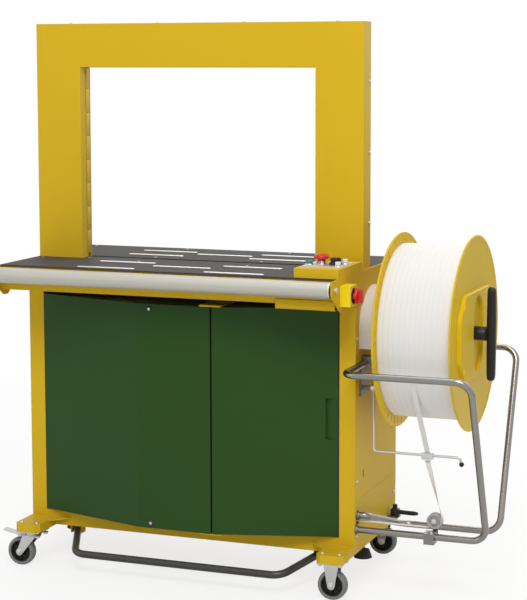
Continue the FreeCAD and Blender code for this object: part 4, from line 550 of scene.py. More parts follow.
class Shape:
    """Mesh under construction, in the frame's metres. Sizes are given in millimetres."""

    def __init__(self) -> None:
        """Start with no faces."""
        self.mesh = bmesh.new()

    def _take(self, part: bmesh.types.BMesh, place: Optional[Matrix] = None) -> "Shape":
        """Merge a finished part, given in millimetres, and scale it to metres."""
        bmesh.ops.recalc_face_normals(part, faces=part.faces[:])
        part.transform(Matrix.Scale(MM, 4) @ (place or Matrix.Identity(4)))
        held = bpy.data.meshes.new("part")
        part.to_mesh(held)
        part.free()
        self.mesh.from_mesh(held)
        bpy.data.meshes.remove(held)
        return self

    def turned(self, profile: Sequence[Pair], centre: Point, axis: Axis, sides: int = 48,
               closed: bool = False) -> "Shape":
        """Add a lathe shape.

        Args:
            profile: Radius and height of each point, in order.
            centre: Where radius 0 and height 0 are.
            axis: Direction of the height.
            sides: Faces around.
            closed: Whether the last point joins the first, as in a ring.

        Returns:
            This shape.
        """
        part = bmesh.new()
        rings = []
        for radius, height in profile:
            count = sides if radius >= TINY else 1
            points = [polar(radius, math.tau * k / sides) for k in range(count)]
            if count == 1:
                points = [(0.0, 0.0)]
            rings.append([part.verts.new((*point, height)) for point in points])
        for first, second in zip(rings, rings[1:] + (rings[:1] if closed else [])):
            for k in range(sides):
                after = (k + 1) % sides
                corners = (first[k % len(first)], first[after % len(first)],
                           second[after % len(second)], second[k % len(second)])
                unique = list(dict.fromkeys(corners))
                if len(unique) > 2:
                    part.faces.new(unique)
        return self._take(part, Matrix.Translation(centre) @ axis.turn())

    def slab(self, low: Point, high: Point, edge: float = 0.6, rounds: int = 2,
             turn: Optional[Matrix] = None) -> "Shape":
        """Add a block with rounded edges.

        Args:
            low: Lowest corner.
            high: Highest corner.
            edge: Radius of the edges.
            rounds: Faces across each rounded edge.
            turn: Rotation about the block's middle.

        Returns:
            This shape.
        """
        part = bmesh.new()
        bmesh.ops.create_cube(part, size=1.0)
        span = [b - a for a, b in zip(low, high)]
        middle = [(a + b) / 2 for a, b in zip(low, high)]
        part.transform(Matrix.Diagonal((*span, 1.0)))
        bmesh.ops.bevel(part, geom=part.edges[:], offset=edge, segments=rounds, profile=0.5,
                        affect="EDGES")
        return self._take(part, Matrix.Translation(middle) @ (turn or Matrix.Identity(4)))

    def plate(self, outline: Sequence[Pair], thickness: float, centre: Point, axis: Axis,
              edge: float, rounds: int) -> "Shape":
        """Add a flat plate with a given outline, its edges rounded.

        Args:
            outline: Points of the outline, in order.
            thickness: Height of the plate.
            centre: Where the outline's origin goes, on the plate's lower face.
            axis: Direction from the lower to the upper face.
            edge: Radius of the two rims.
            rounds: Faces across each rim.

        Returns:
            This shape.
        """
        part = bmesh.new()
        face = part.faces.new([part.verts.new((x, y, 0.0)) for x, y in outline])
        made = bmesh.ops.extrude_face_region(part, geom=[face])
        top = [item for item in made["geom"] if isinstance(item, bmesh.types.BMVert)]
        bmesh.ops.translate(part, verts=top, vec=(0.0, 0.0, thickness))
        rims = [e for e in part.edges if abs(e.verts[0].co.z - e.verts[1].co.z) < TINY]
        bmesh.ops.bevel(part, geom=rims, offset=edge, segments=rounds, profile=0.5,
                        affect="EDGES")
        return self._take(part, Matrix.Translation(centre) @ axis.turn())

    def loft(self, rings: Sequence[Sequence[Point]], place: Optional[Matrix] = None,
             looped: bool = False) -> "Shape":
        """Add a skin over rings that each have the same number of points.

        Args:
            rings: Points of each ring, in order.
            place: Transform of the result.
            looped: Whether the last ring joins the first. If not, both ends are closed.

        Returns:
            This shape.
        """
        part = bmesh.new()
        made = [[part.verts.new(point) for point in ring] for ring in rings]
        count = len(made[0])
        for first, second in zip(made, made[1:] + (made[:1] if looped else [])):
            for k in range(count):
                after = (k + 1) % count
                part.faces.new((first[k], first[after], second[after], second[k]))
        if not looped:
            part.faces.new(made[0])
            part.faces.new(made[-1])
        return self._take(part, place)

    def tube(self, path: Sequence[Point], radius: float, sides: int,
             closed: bool = False) -> "Shape":
        """Add a round bar along a path.

        Args:
            path: Points that the bar's middle follows.
            radius: Radius of the bar.
            sides: Faces around.
            closed: Whether the bar is a loop.

        Returns:
            This shape.
        """
        points = [Vector(p) for p in path]
        count = len(points)
        rings = []
        across = None
        for k, point in enumerate(points):
            before = points[(k - 1) % count] if closed or k else point
            after = points[(k + 1) % count] if closed or k < count - 1 else point
            along = (after - before).normalized()
            if across is None:
                across = along.orthogonal().normalized()
            across = (across - along * across.dot(along)).normalized()
            side = along.cross(across)
            angles = [math.tau * j / sides for j in range(sides)]
            rings.append([point + across * radius * math.cos(a) + side * radius * math.sin(a)
                          for a in angles])
        return self.loft(rings, looped=closed)

    def ribbon(self, path: Sequence[Point], width: Vector, thickness: float) -> "Shape":
        """Add a flat strip along a path.

        Args:
            path: Points that the strip's middle follows.
            width: Half of the strip's width, as a vector across it.
            thickness: Thickness of the strip.

        Returns:
            This shape.
        """
        points = [Vector(p) for p in path]
        rings = []
        for point, before, after in zip(points, points[:1] + points, points[1:] + points[-1:]):
            up = (after - before).normalized().cross(width).normalized() * thickness / 2
            corners = (width + up, up - width, -width - up, width - up)
            rings.append([point + corner for corner in corners])
        return self.loft(rings)

    def to_object(self, name: str, finish: Finish) -> bpy.types.Object:
        """Turn the shape into an object of this finish that is linked to the scene."""
        data = bpy.data.meshes.new(name)
        self.mesh.to_mesh(data)
        self.mesh.free()
        data.shade_smooth()
        data.set_sharp_from_angle(angle=SHARP_ANGLE)
        data.materials.append(finish.material())
        return linked(name, data)

    def keep(self, name: str, finish: Finish, body: str = "machine", node: str = "") -> None:
        """Turn the shape into a piece.

        Args:
            name: Name of the piece.
            finish: Finish of its surface.
            body: CAD body that carries it.
            node: CAD node that it stands for, if any.
        """
        settle(self.to_object(name, finish), body, node)


# Repeats by geometry nodes


class Layout(Enum):
    """How a repeater places its copies."""

    SPOTS = "spots"
    ROW = "row"
    RING = "ring"


class Repeater:
    """Copies of one small shape, placed by a geometry node tree and joined into one piece."""

    _trees: dict[Layout, bpy.types.NodeTree] = {}
    _inputs: dict[Layout, dict[str, str]] = {
        Layout.SPOTS: {},
        Layout.ROW: {"Count": "Int", "Start": "Vector", "Step": "Vector"},
        Layout.RING: {"Count": "Int", "Radius": "Float", "Centre": "Vector", "Turn": "Vector"},
    }

    @classmethod
    def _tree(cls, layout: Layout) -> bpy.types.NodeTree:
        """Node tree of a layout, built at its first use."""
        if layout in cls._trees:
            return cls._trees[layout]
        tree = bpy.data.node_groups.new(f"repeat_{layout.value}", "GeometryNodeTree")
        sockets = {"Geometry": "Geometry", **cls._inputs[layout], "Shape": "Object",
                   "Finish": "Material"}
        for name, kind in sockets.items():
            tree.interface.new_socket(name, in_out="INPUT", socket_type=f"NodeSocket{kind}")
        tree.interface.new_socket("Geometry", in_out="OUTPUT", socket_type="NodeSocketGeometry")
        wire = Wiring(tree)
        given = wire.node("NodeGroupInput").outputs
        shape = wire.node("GeometryNodeObjectInfo", {"Object": given["Shape"]})
        values = {"Instance": shape.outputs["Geometry"], **cls._points(wire, given, layout)}
        placed = wire.node("GeometryNodeInstanceOnPoints", values).outputs["Instances"]
        if layout is Layout.RING:
            values = {"Geometry": placed, "Translation": given["Centre"],
                      "Rotation": given["Turn"]}
            placed = wire.node("GeometryNodeTransform", values).outputs["Geometry"]
        real = wire.node("GeometryNodeRealizeInstances", {"Geometry": placed})
        values = {"Geometry": real.outputs["Geometry"], "Material": given["Finish"]}
        dress = wire.node("GeometryNodeSetMaterial", values)
        wire.node("NodeGroupOutput", {"Geometry": dress.outputs["Geometry"]})
        cls._trees[layout] = tree
        return tree

    @staticmethod
    def _points(wire: Wiring, given: bpy.types.NodeOutputs, layout: Layout) -> dict:
        """Sockets with the points of a layout and the copies' rotations.

        Args:
            wire: Wiring of the layout's tree.
            given: The tree's inputs.
            layout: The layout.

        Returns:
            Sockets for the inputs Points and Rotation. A row has no rotation.
        """
        if layout is Layout.SPOTS:
            turn = wire.node("GeometryNodeInputNamedAttribute", data_type="FLOAT_VECTOR")
            turn.inputs["Name"].default_value = "turn"
            return {"Points": given["Geometry"], "Rotation": turn.outputs["Attribute"]}
        if layout is Layout.ROW:
            values = {"Count": given["Count"], "Start Location": given["Start"],
                      "Offset": given["Step"]}
            return {"Points": wire.node("GeometryNodeMeshLine", values, mode="OFFSET").outputs[0]}
        values = {"Vertices": given["Count"], "Radius": given["Radius"]}
        ring = wire.node("GeometryNodeMeshCircle", values, fill_type="NONE")
        values = {"Vector": wire.node("GeometryNodeInputPosition").outputs[0]}
        outward = wire.node("FunctionNodeAlignRotationToVector", values, axis="X", pivot_axis="Z")
        return {"Points": ring.outputs["Mesh"], "Rotation": outward.outputs["Rotation"]}

    @classmethod
    def _make(cls, layout: Layout, shape: Shape, values: dict[str, object], name: str,
              finish: Finish, body: str, node: str = "",
              host: Optional[bpy.types.Mesh] = None) -> None:
        """Run a layout's tree and keep its result as a plain mesh piece.

        Args:
            layout: The layout.
            shape: Shape to copy.
            values: Inputs of the layout's tree.
            name: Name of the piece.
            finish: Finish of the copies.
            body: CAD body that carries the piece.
            node: CAD node that the piece stands for, if any.
            host: Mesh whose points the copies go to, if the layout needs one.
        """
        unit = shape.to_object(f"{name}_unit", finish)
        carrier = linked(f"{name}_carrier", host or bpy.data.meshes.new(f"{name}_none"))
        modifier = carrier.modifiers.new("repeat", "NODES")
        tree = cls._tree(layout)
        modifier.node_group = tree
        values = {**values, "Shape": unit, "Finish": finish.material()}
        for item in tree.interface.items_tree:
            if item.item_type == "SOCKET" and item.in_out == "INPUT" and item.name in values:
                modifier[item.identifier] = values[item.name]
        graph = bpy.context.evaluated_depsgraph_get()
        result = bpy.data.meshes.new_from_object(carrier.evaluated_get(graph))
        result.name = name
        carrier.modifiers.remove(modifier)
        for spare in (carrier, unit):
            bpy.data.objects.remove(spare, do_unlink=True)
        settle(linked(name, result), body, node)

    @classmethod
    def spots(cls, name: str, shape: Shape, places: Sequence[Spot], finish: Finish = STEEL,
              body: str = "machine", node: str = "") -> None:
        """Make a piece of copies at given points.

        Args:
            name: Name of the piece.
            shape: Shape to copy, made around the origin and pointing up.
            places: Point and direction of each copy.
            finish: Finish of the copies.
            body: CAD body that carries the piece.
            node: CAD node that the piece stands for, if any.
        """
        host = bpy.data.meshes.new(f"{name}_points")
        host.from_pydata([[c * MM for c in point] for point, _ in places], [], [])
        turns = host.attributes.new("turn", "FLOAT_VECTOR", "POINT")
        for item, (_, axis) in zip(turns.data, places):
            item.vector = axis.turn().to_euler()
        cls._make(Layout.SPOTS, shape, {}, name, finish, body, node, host)

    @classmethod
    def row(cls, name: str, shape: Shape, count: int, start: Point, step: Point,
            finish: Finish = STEEL, body: str = "machine") -> None:
        """Make a piece of copies in an even row.

        Args:
            name: Name of the piece.
            shape: Shape to copy.
            count: Number of copies.
            start: Place of the first copy.
            step: From one copy to the next.
            finish: Finish of the copies.
            body: CAD body that carries the piece.
        """
        values = {"Count": count, "Start": [c * MM for c in start], "Step": [c * MM for c in step]}
        cls._make(Layout.ROW, shape, values, name, finish, body)

    @classmethod
    def ring(cls, name: str, shape: Shape, count: int, radius: float, centre: Point, axis: Axis,
             finish: Finish, body: str = "machine") -> None:
        """Make a piece of copies around a circle, each with its X pointing outwards.

        Args:
            name: Name of the piece.
            shape: Shape to copy.
            count: Number of copies.
            radius: Radius of the circle.
            centre: Middle of the circle.
            axis: Direction that the circle faces.
            finish: Finish of the copies.
            body: CAD body that carries the piece.
        """
        values = {"Count": count, "Radius": radius * MM, "Centre": [c * MM for c in centre],
                  "Turn": list(axis.turn().to_euler())}
        cls._make(Layout.RING, shape, values, name, finish, body)


def hex_bolt(across: float, head: float) -> Shape:
    """Hexagon head on a washer, standing on the origin and pointing up."""
    washer = [(0, -0.5), (across * 0.78, -0.5), (across * 0.78, 0.7), (across * 0.72, 1.0), (0, 1.0)]
    hexagon = [polar(across / math.sqrt(3.0), math.tau * k / 6) for k in range(6)]
    crown = [(0, head - 0.2), (across * 0.36, head - 0.2), (across * 0.3, head + 0.35),
             (0, head + 0.35)]
    shape = Shape().turned(washer, ORIGIN, Axis.Z, 20)
    shape.plate(hexagon, head - 1.0, (0, 0, 0.9), Axis.Z, 0.5, 2)
    return shape.turned(crown, ORIGIN, Axis.Z, 16)


def socket_screw(radius: float = 4.5, height: float = 2.6) -> Shape:
    """Low domed screw head with a hollow in its middle, standing on the origin, pointing up."""
    dome = [(radius * math.cos(a), height * math.sin(a)) for a in (0.0, 0.35, 0.7, 1.0, 1.25)]
    profile = [(0, -0.3), (radius, -0.3), *dome, (radius * 0.4, height * 0.45),
               (0, height * 0.35)]
    return Shape().turned(profile, ORIGIN, Axis.Z, 24)


def slotted_screw(radius: float) -> Shape:
    """Countersunk screw, nearly flush, with a slot between its two halves, pointing up."""
    slot_half, steps = 0.4, 10
    shape = Shape().turned([(0, -0.4), (radius, -0.4), (radius, 0.05), (0, 0.05)], ORIGIN,
                           Axis.Z, 24)
    edge = math.asin(slot_half / radius)
    arc = [edge + (math.pi - 2.0 * edge) * k / steps for k in range(steps + 1)]
    for side in (1.0, -1.0):
        half = [polar(side * radius, a) for a in arc]
        shape.plate(half, 0.4, ORIGIN, Axis.Z, 0.12, 1)
    return shape


# Studio


@dataclass
class Studio:
    """Camera, lights and floor, in metres and degrees."""

    eye: Point = (1.7235, -4.0154, 1.3108)
    yaw: float = 20.118
    pitch: float = -6.177
    focal_px: float = 1697.5
    centre_px: Pair = (291.94, 248.90)
    frame_px: Pair = (527.0, 600.0)
    sensor: float = 36.0
    aim: Point = (0.1, 0.0, 0.7)
    floor_half: float = 14.0

    def build(self) -> None:
        """Place the camera at the photograph's view, then the light and the floor."""
        self._camera()
        self._world()
        self._lamps()
        self._floor()
        LOG.info("studio placed")

    def _camera(self) -> None:
        """Camera with the photograph's view, focal length and framing."""
        data = bpy.data.cameras.new("camera")
        longest = max(self.frame_px)
        data.sensor_fit = "AUTO"
        data.sensor_width = self.sensor
        data.lens = self.focal_px / longest * self.sensor
        data.shift_x = (self.frame_px[0] / 2 - self.centre_px[0]) / longest
        data.shift_y = (self.centre_px[1] - self.frame_px[1] / 2) / longest
        data.clip_end = 60.0
        camera = linked("camera", data)
        camera.location = self.eye
        camera.rotation_euler = (math.radians(90.0 + self.pitch), 0.0, math.radians(self.yaw))
        bpy.context.scene.camera = camera

    def _world(self) -> None:
        """Even pale light, with white behind the object for the camera and for reflections."""
        world = bpy.data.worlds.new("studio")
        world.use_nodes = True
        bpy.context.scene.world = world
        wire = Wiring(world.node_tree)
        path = wire.node("LightPath").outputs
        dim = world.node_tree.nodes["Background"]
        dim.inputs["Color"].default_value = (0.95, 0.97, 1.0, 1.0)
        dim.inputs["Strength"].default_value = 0.34
        white = wire.node("Background", {"Color": (1.0, 1.0, 1.0, 1.0), "Strength": 1.0})
        mirrored_ray = wire.math("MAXIMUM", path["Is Glossy Ray"], path["Is Transmission Ray"])
        seen = wire.math("MAXIMUM", path["Is Camera Ray"], mirrored_ray)
        mix = wire.node("MixShader", {0: seen, 1: dim.outputs[0], 2: white.outputs[0]})
        wire.feed(world.node_tree.nodes["World Output"].inputs[0], mix.outputs[0])

    def _lamps(self) -> None:
        """Large soft key from the front right, a fill from the left, a top and a back light."""
        for name, place, size, power in (
            ("key", (1.5, -3.3, 4.2), 2.2, 140.0),
            ("fill", (-3.8, -3.0, 1.8), 2.6, 18.0),
            ("top", (0.0, 0.6, 4.2), 3.0, 60.0),
            ("back", (1.0, 4.0, 2.6), 3.0, 48.0),
        ):
            data = bpy.data.lights.new(name, "AREA")
            data.shape = "SQUARE"
            data.size = size
            data.energy = power
            lamp = linked(name, data)
            lamp.location = place
            toward = Vector(self.aim) - Vector(place)
            lamp.rotation_euler = toward.to_track_quat("-Z", "Y").to_euler()

    def _floor(self) -> None:
        """Plain pale floor that shows nearly white and keeps the object's shadow."""
        mesh = bpy.data.meshes.new("floor")
        half = self.floor_half
        corners = [(-half, -half, 0), (half, -half, 0), (half, half, 0), (-half, half, 0)]
        mesh.from_pydata(corners, [], [(0, 1, 2, 3)])
        floor = linked("floor", mesh)
        material = bpy.data.materials.new("pale_floor")
        material.use_nodes = True
        wire = Wiring(material.node_tree)
        shader = material.node_tree.nodes["Principled BSDF"]
        shader.inputs["Base Color"].default_value = (0.93, 0.93, 0.92, 1.0)
        shader.inputs["Roughness"].default_value = 0.9
        glow = wire.node("Emission", {"Strength": 1.0})
        place = wire.node("TexCoord").outputs["Object"]
        away = wire.node("VectorMath", {0: place}, operation="LENGTH").outputs["Value"]
        fade = wire.ramp(away, 0.9, 3.2, 0.78, 1.0)
        seen = wire.node("LightPath").outputs["Is Camera Ray"]
        share = wire.math("MULTIPLY", seen, fade)
        mix = wire.node("MixShader", {0: share, 1: shader.outputs[0], 2: glow.outputs[0]})
        wire.feed(material.node_tree.nodes["Material Output"].inputs[0], mix.outputs[0])
        mesh.materials.append(material)


# Sub-assemblies


@dataclass
class Casters:
    """Tyres, hubs, bolts and ball-race covers of the four casters."""

    wheel_radius: float = 37.5
    wheel_width: float = 24.0
    tread: float = 9.0
    web: float = 3.2
    axle_radius: float = 4.05
    axle_z: float = 37.5
    fork_half: float = 17.0
    left_x: float = -449.0
    right_x: float = 417.0
    swivel_x: float = -417.0
    rows: tuple[tuple[str, float], ...] = (("front", -155.0), ("rear", 267.0))
    bolt_half: Pair = (26.0, 22.0)

    def build(self) -> None:
        """Make every piece of the casters."""
        for tag, y in self.rows:
            for side, x in (("left", self.left_x), ("right", self.right_x)):
                self._wheel(f"{side}_{tag}", (x, y, self.axle_z))
        self._bolts()
        self._swivel_rings()

    def _wheel(self, tag: str, centre: Point) -> None:
        """Tyre and ribbed hub that stand for one CAD wheel."""
        r, half, inner = self.wheel_radius, self.wheel_width / 2, self.wheel_radius - self.tread
        node, bore, web = f"wheel_{tag}", self.axle_radius, self.web
        tyre = mirrored(
            [(inner, 1.5 - half), (inner + 1.2, 0.4 - half), (inner + 4.0, -half),
             (r - 3.4, 0.6 - half), (r - 1.1, 2.6 - half), (r - 0.3, 5.5 - half), (r, -2.0),
             (r, -0.5)], (r - 0.35, 0.0))
        hub = mirrored(
            [(bore, 1.0 - half), (9.5, 1.0 - half), (10.3, 1.8 - half), (11.5, -web),
             (inner - 5.0, -web), (inner - 3.4, 3.2 - half), (inner - 2.6, 2.2 - half),
             (inner, 2.2 - half)])
        shape = Shape().turned(tyre, centre, Axis.Y, 72, closed=True)
        shape.keep(f"tyre_{tag}", GREY_RUBBER, node, node)
        shape = Shape().turned(hub, centre, Axis.Y, 60, closed=True)
        shape.keep(f"hub_{tag}", BLACK_PLASTIC, node)
        rib = Shape().slab((-6.8, -0.9, 3.6 - half), (6.8, 0.9, half - 3.6), 0.5)
        Repeater.ring(f"hub_ribs_{tag}", rib, 8, (inner + 6.0) / 2, centre, Axis.Y,
                      BLACK_PLASTIC, node)

    def _axle_ends(self, x: float, y: float) -> list[Spot]:
        """Both ends of the axle of the caster at this place."""
        return [((x, y + side * self.fork_half, self.axle_z), axis) for side, axis in ENDS_Y]

    def _bolts(self) -> None:
        """Bolts under the four plates and the nuts on the axles."""
        wide, deep = self.bolt_half
        plates = ((self.right_x, 94.0), (self.swivel_x, 87.0))
        spots = [((x + dx, y + dy, low), Axis.NEG_Z) for _, y in self.rows for x, low in plates
                 for dx in (-wide, wide) for dy in (-deep, deep)]
        Repeater.spots("caster_plate_bolts", hex_bolt(10.0, 5.2), spots)
        ends = [end for _, y in self.rows for end in self._axle_ends(self.right_x, y)]
        Repeater.spots("fixed_axle_nuts", hex_bolt(11.0, 5.0), ends)
        for tag, y in self.rows:
            ends = self._axle_ends(self.left_x, y)
            Repeater.spots(f"swivel_axle_nuts_{tag}", hex_bolt(11.0, 5.0), ends,
                           body=f"swivel_{tag}")

    def _swivel_rings(self) -> None:
        """Pressed ball-race covers of the two swivel casters."""
        profile = [(17.0, 84.5), (22.0, 84.5), (23.2, 83.6), (23.6, 82.2), (22.8, 80.9),
                   (20.0, 80.2), (16.0, 80.2), (15.4, 81.0)]
        for tag, y in self.rows:
            shape = Shape().turned(profile, (self.swivel_x, y, 0.0), Axis.Z, 40, closed=True)
            shape.keep(f"ball_race_{tag}", CHROME, f"swivel_{tag}")


@dataclass
class BaseAndBody:
    """Feet, side panels and rear panel: screws, louvres, seam strips and lock nuts."""

    side: float = 452.0
    rear: float = 264.0
    seam_z: float = 232.5
    louvre_x: float = 230.0
    louvre_z: float = 239.5
    louvre_pitch: float = 16.0
    louvres: int = 9
    keyhole: Point = (-20.0, 280.0, 300.0)
    foot_top: float = 119.0

    def build(self) -> None:
        """Make every piece of the base and the body."""
        self._louvres()
        self._panel_screws()
        self._seam_strips()
        self._foot_nuts()

    def _louvres(self) -> None:
        """Pressed hoods over the rear panel's vents."""
        for tag, x in (("left", -self.louvre_x), ("right", self.louvre_x)):
            Repeater.row(f"louvre_hoods_{tag}", self._hood(), self.louvres,
                         (x, self.rear, self.louvre_z), (0.0, 0.0, self.louvre_pitch),
                         YELLOW_PAINT)

    def _hood(self) -> Shape:
        """One hood: a bent strip with closed ends that stands off the panel."""
        outline = [(0.0, 9.6), (2.4, 8.8), (5.0, 6.2), (6.4, 3.0), (6.6, 0.4), (5.8, 0.4),
                   (5.4, 2.8), (4.2, 5.4), (2.0, 7.8), (0.0, 8.6)]
        ends = ((33.0, 0.04), (31.5, 0.55), (29.0, 0.9), (25.0, 1.0))
        middle = 4.5
        rings = [[(x, y * share, z if share > 0.5 else middle + (z - middle) * 0.9)
                  for y, z in outline]
                 for x, share in [*((-x, share) for x, share in ends), *reversed(ends)]]
        return Shape().loft(rings)

    def _panel_screws(self) -> None:
        """Screws around the rear panel and on the side panels."""
        points = [(x, z) for x in (-388.0, -130.0, 130.0, 388.0) for z in (152.0, 726.0)]
        points += [(x, z) for x in (-388.0, 388.0) for z in (295.0, 440.0, 583.0)]
        spots = [((x, self.rear, z), Axis.Y) for x, z in points]
        Repeater.spots("rear_panel_screws", socket_screw(), spots)
        points = ((-79.0, 281.0), (-79.0, 142.0), (240.0, 180.0), (-79.0, 640.0),
                  (240.0, 640.0), (240.0, 420.0))
        spots = [((sign * (self.side + 2.5), y, z), axis) for sign, axis in ENDS_X
                 for y, z in points]
        Repeater.spots("side_panel_domes", socket_screw(4.4, 1.6), spots)

    def _seam_strips(self) -> None:
        """Painted strips in the side panels' seams, and painted shade in the right panel's slot."""
        deep, thick = 2.2, 2.15
        for tag, low in (("right", self.side - deep), ("left", -self.side)):
            shape = Shape().slab((low, -86.0, self.seam_z - 0.5),
                                 (low + thick, 261.0, self.seam_z + 0.5), 0.1, 1)
            shape.keep(f"seam_strip_{tag}", YELLOW_PAINT)
        # Black slab flush on the side panel: painted shade for the dark inside of the slot, not a
        # real part
        y, low, high = self.keyhole
        shape = Shape().slab((self.side - 0.3, y - 2.0, low), (self.side + 0.35, y + 2.0, high),
                             0.15, 1)
        shape.keep("panel_keyhole", BLACK_PLASTIC)

    def _foot_nuts(self) -> None:
        """Lock nuts of the levelling feet and the screws on top of the base's feet."""
        spots = [((x, 88.0, 92.0), Axis.NEG_Z) for x in (-417.0, 417.0)]
        Repeater.spots("level_lock_nuts", hex_bolt(17.0, 8.0), spots)
        spots = [((x, y, self.foot_top), Axis.Z) for x in (-395.0, -439.0, 395.0, 439.0)
                 for y in (-171.0, 288.0)]
        Repeater.spots("caster_top_bolts", socket_screw(4.5, 3.0), spots)


@dataclass
class Covers:
    """Gaskets, locks and pull of the bowed front covers."""

    post_x: float = 408.6
    front_y: float = -175.0
    low: float = 139.0
    high: float = 715.0
    grip: Pair = (377.0, -98.5)

    def build(self) -> None:
        """Make every piece of the covers."""
        for tag, x in (("left", -self.post_x), ("right", self.post_x)):
            shape = Shape().slab((x - 1.3, -88.6, self.low + 2.0),
                                 (x + 1.3, -84.0, self.high - 2.0), 0.5)
            shape.keep(f"post_gasket_{tag}", BLACK_RUBBER)
        lock = [(3.6, 0.0), (6.6, 0.0), (6.6, 0.7), (6.0, 1.2), (4.4, 1.2), (3.6, 0.6)]
        for tag, z in (("low", 152.0), ("high", 702.0)):
            shape = Shape().turned(lock, (-66.0, self.front_y - 2.0, z), Axis.NEG_Y, 32,
                                   closed=True)
            shape.keep(f"cover_lock_ring_{tag}", DARK_STEEL)
        lip = Shape().tube([(*self.grip, 388.0), (*self.grip, 488.0)], 1.3, 10)
        lip.keep("grip_lip", GREEN_PAINT, "right_door")


@dataclass
class Table:
    """Crowned glide strips, screws, cable duct and the roller's end rings."""

    top: float = 806.0
    strip_length: float = 158.0
    strip_width: float = 11.0
    strip_height: float = 2.5
    columns: Pair = (-165.0, 180.0)
    rows: tuple[float, ...] = (-215.0, -88.0, 88.0, 180.0)
    centre: Pair = (10.0, 142.0)
    rivets: Point = (-66.0, 0.0, 66.0)
    roller_y: float = -257.0
    roller_z: float = 782.0
    roller_radius: float = 20.0
    roller_half: float = 446.0
    cheek_x: float = 460.0
    duct: tuple[Point, Point] = ((294.0, -233.0, 729.0), (446.0, -182.0, 753.0))
    duct_wall: float = 2.0
    skirt_bottom: float = 742.0

    def build(self) -> None:
        """Make every piece of the table."""
        self._strips()
        self._plate_screws()
        self._roller()
        self._cable_duct()

    def _strips(self) -> None:
        """Glide strips with round ends and a crowned top, in place of the plain ones."""
        half, radius = self.strip_length / 2, self.strip_width / 2
        turns = [math.radians(d) for d in range(-90, 91, 18)]
        outline = [(half - radius + radius * math.cos(a), radius * math.sin(a)) for a in turns]
        outline += [(-x, -y) for x, y in outline]
        strip = Shape().plate(outline, self.strip_height, ORIGIN, Axis.Z, 0.9, 3)
        middles = [(x, y) for x in self.columns for y in self.rows]
        middles += [(self.centre[0], side * self.centre[1]) for side in (-1.0, 1.0)]
        spots = [((x, y, self.top), Axis.Z) for x, y in middles]
        Repeater.spots("crowned_glide_strips", strip, spots, STRIP_STEEL, node="glide_strips")
        crown = self.top + self.strip_height - 0.3
        spots = [((x + dx, y, crown), Axis.Z) for x, y in middles for dx in self.rivets]
        Repeater.spots("glide_strip_rivets", slotted_screw(2.6), spots)

    def _plate_screws(self) -> None:
        """Countersunk screws that hold the table plates."""
        points = [(x, y) for x in (-430.0, -150.0, 150.0) for y in (-50.0, 50.0, 262.0)]
        points += [(430.0, 50.0), (430.0, 262.0), (-310.0, -18.0), (310.0, -18.0)]
        spots = [((x, y, self.top - 0.1), Axis.Z) for x, y in points]
        Repeater.spots("table_screws", slotted_screw(4.2), spots)

    def _roller(self) -> None:
        """Pressed end rings of the front roller and the faces of the two cheek bolts."""
        r = self.roller_radius
        profile = [(6.4, 0.0), (r - 1.2, 0.0), (r + 0.05, -1.0), (r + 0.05, -4.5),
                   (r - 0.4, -4.7), (r - 2.0, -1.6), (7.4, -1.4), (6.4, -1.2)]
        for tag, (side, axis) in zip(("right", "left"), ENDS_X):
            centre = (side * self.roller_half, self.roller_y, self.roller_z)
            shape = Shape().turned(profile, centre, axis, 48, closed=True)
            shape.keep(f"roller_end_{tag}", STEEL, "roller")
        ends = [((side * self.cheek_x, self.roller_y, self.roller_z), axis)
                for side, axis in ENDS_X]
        Repeater.spots("cheek_bolt_faces", socket_screw(7.8, 1.8), ends)

    def _cable_duct(self) -> None:
        """Folded cover for the switch's cables, under the table's right end."""
        (left, front, low), (right, rear, high) = self.duct
        wall = self.duct_wall
        shape = Shape()
        for corner in ((right, front + wall, high), (right, rear, low + wall),
                       (left + wall, rear, self.skirt_bottom - 0.4)):
            shape.slab((left, front, low), corner, 0.8)
        shape.keep("cable_duct", YELLOW_PAINT)


@dataclass
class Arch:
    """Track flaps and screws of the strapping arch."""

    inner: float = 325.0
    outer: float = 454.5
    low: float = 810.0
    high: float = 1306.0
    groove_y: float = 16.0
    pitch: float = 62.0
    flap: Pair = (30.7, 9.0)

    def build(self) -> None:
        """Make every piece of the arch."""
        self._flaps()
        self._screws()

    def _flap(self, low: float, high: float) -> Shape:
        """One flap between two heights."""
        half, deep = self.flap
        return Shape().slab((-half, -deep, low), (half, deep, high), 0.35)

    def _flaps(self) -> None:
        """Spring flaps that close the track's groove on the sides and the top."""
        y, x = self.groove_y - 5.0, self.inner - 0.2
        count = int((self.high - self.low) / self.pitch)
        for tag, side, axis in (("left", -x, Axis.X), ("right", x, Axis.NEG_X)):
            spots = [((side, y, self.low + 36.0 + k * self.pitch), axis) for k in range(count)]
            Repeater.spots(f"track_flaps_{tag}", self._flap(-0.4, 0.9), spots, TRACK_METAL)
        count = int(2 * self.inner / self.pitch)
        start = (-self.pitch * (count - 1) / 2, y, self.high - 0.2)
        Repeater.row("track_flaps_top", self._flap(-0.9, 0.4), count, start,
                     (self.pitch, 0.0, 0.0), TRACK_METAL)

    def _screws(self) -> None:
        """Domed screws on the arch's sides, top and rear cover."""
        spots = [((side * self.outer, 15.0, z), axis) for side, axis in ENDS_X
                 for z in (919.0, 1095.0, 1271.0)]
        points = [(x, 1362.0) for x in (-400.0, -200.0, 0.0, 200.0, 400.0)]
        points += [(x, z) for x in (-388.0, 388.0) for z in (860.0, 1020.0, 1180.0)]
        spots += [((x, 28.0, z), Axis.Y) for x, z in points]
        Repeater.spots("arch_domes", socket_screw(4.4, 1.8), spots)


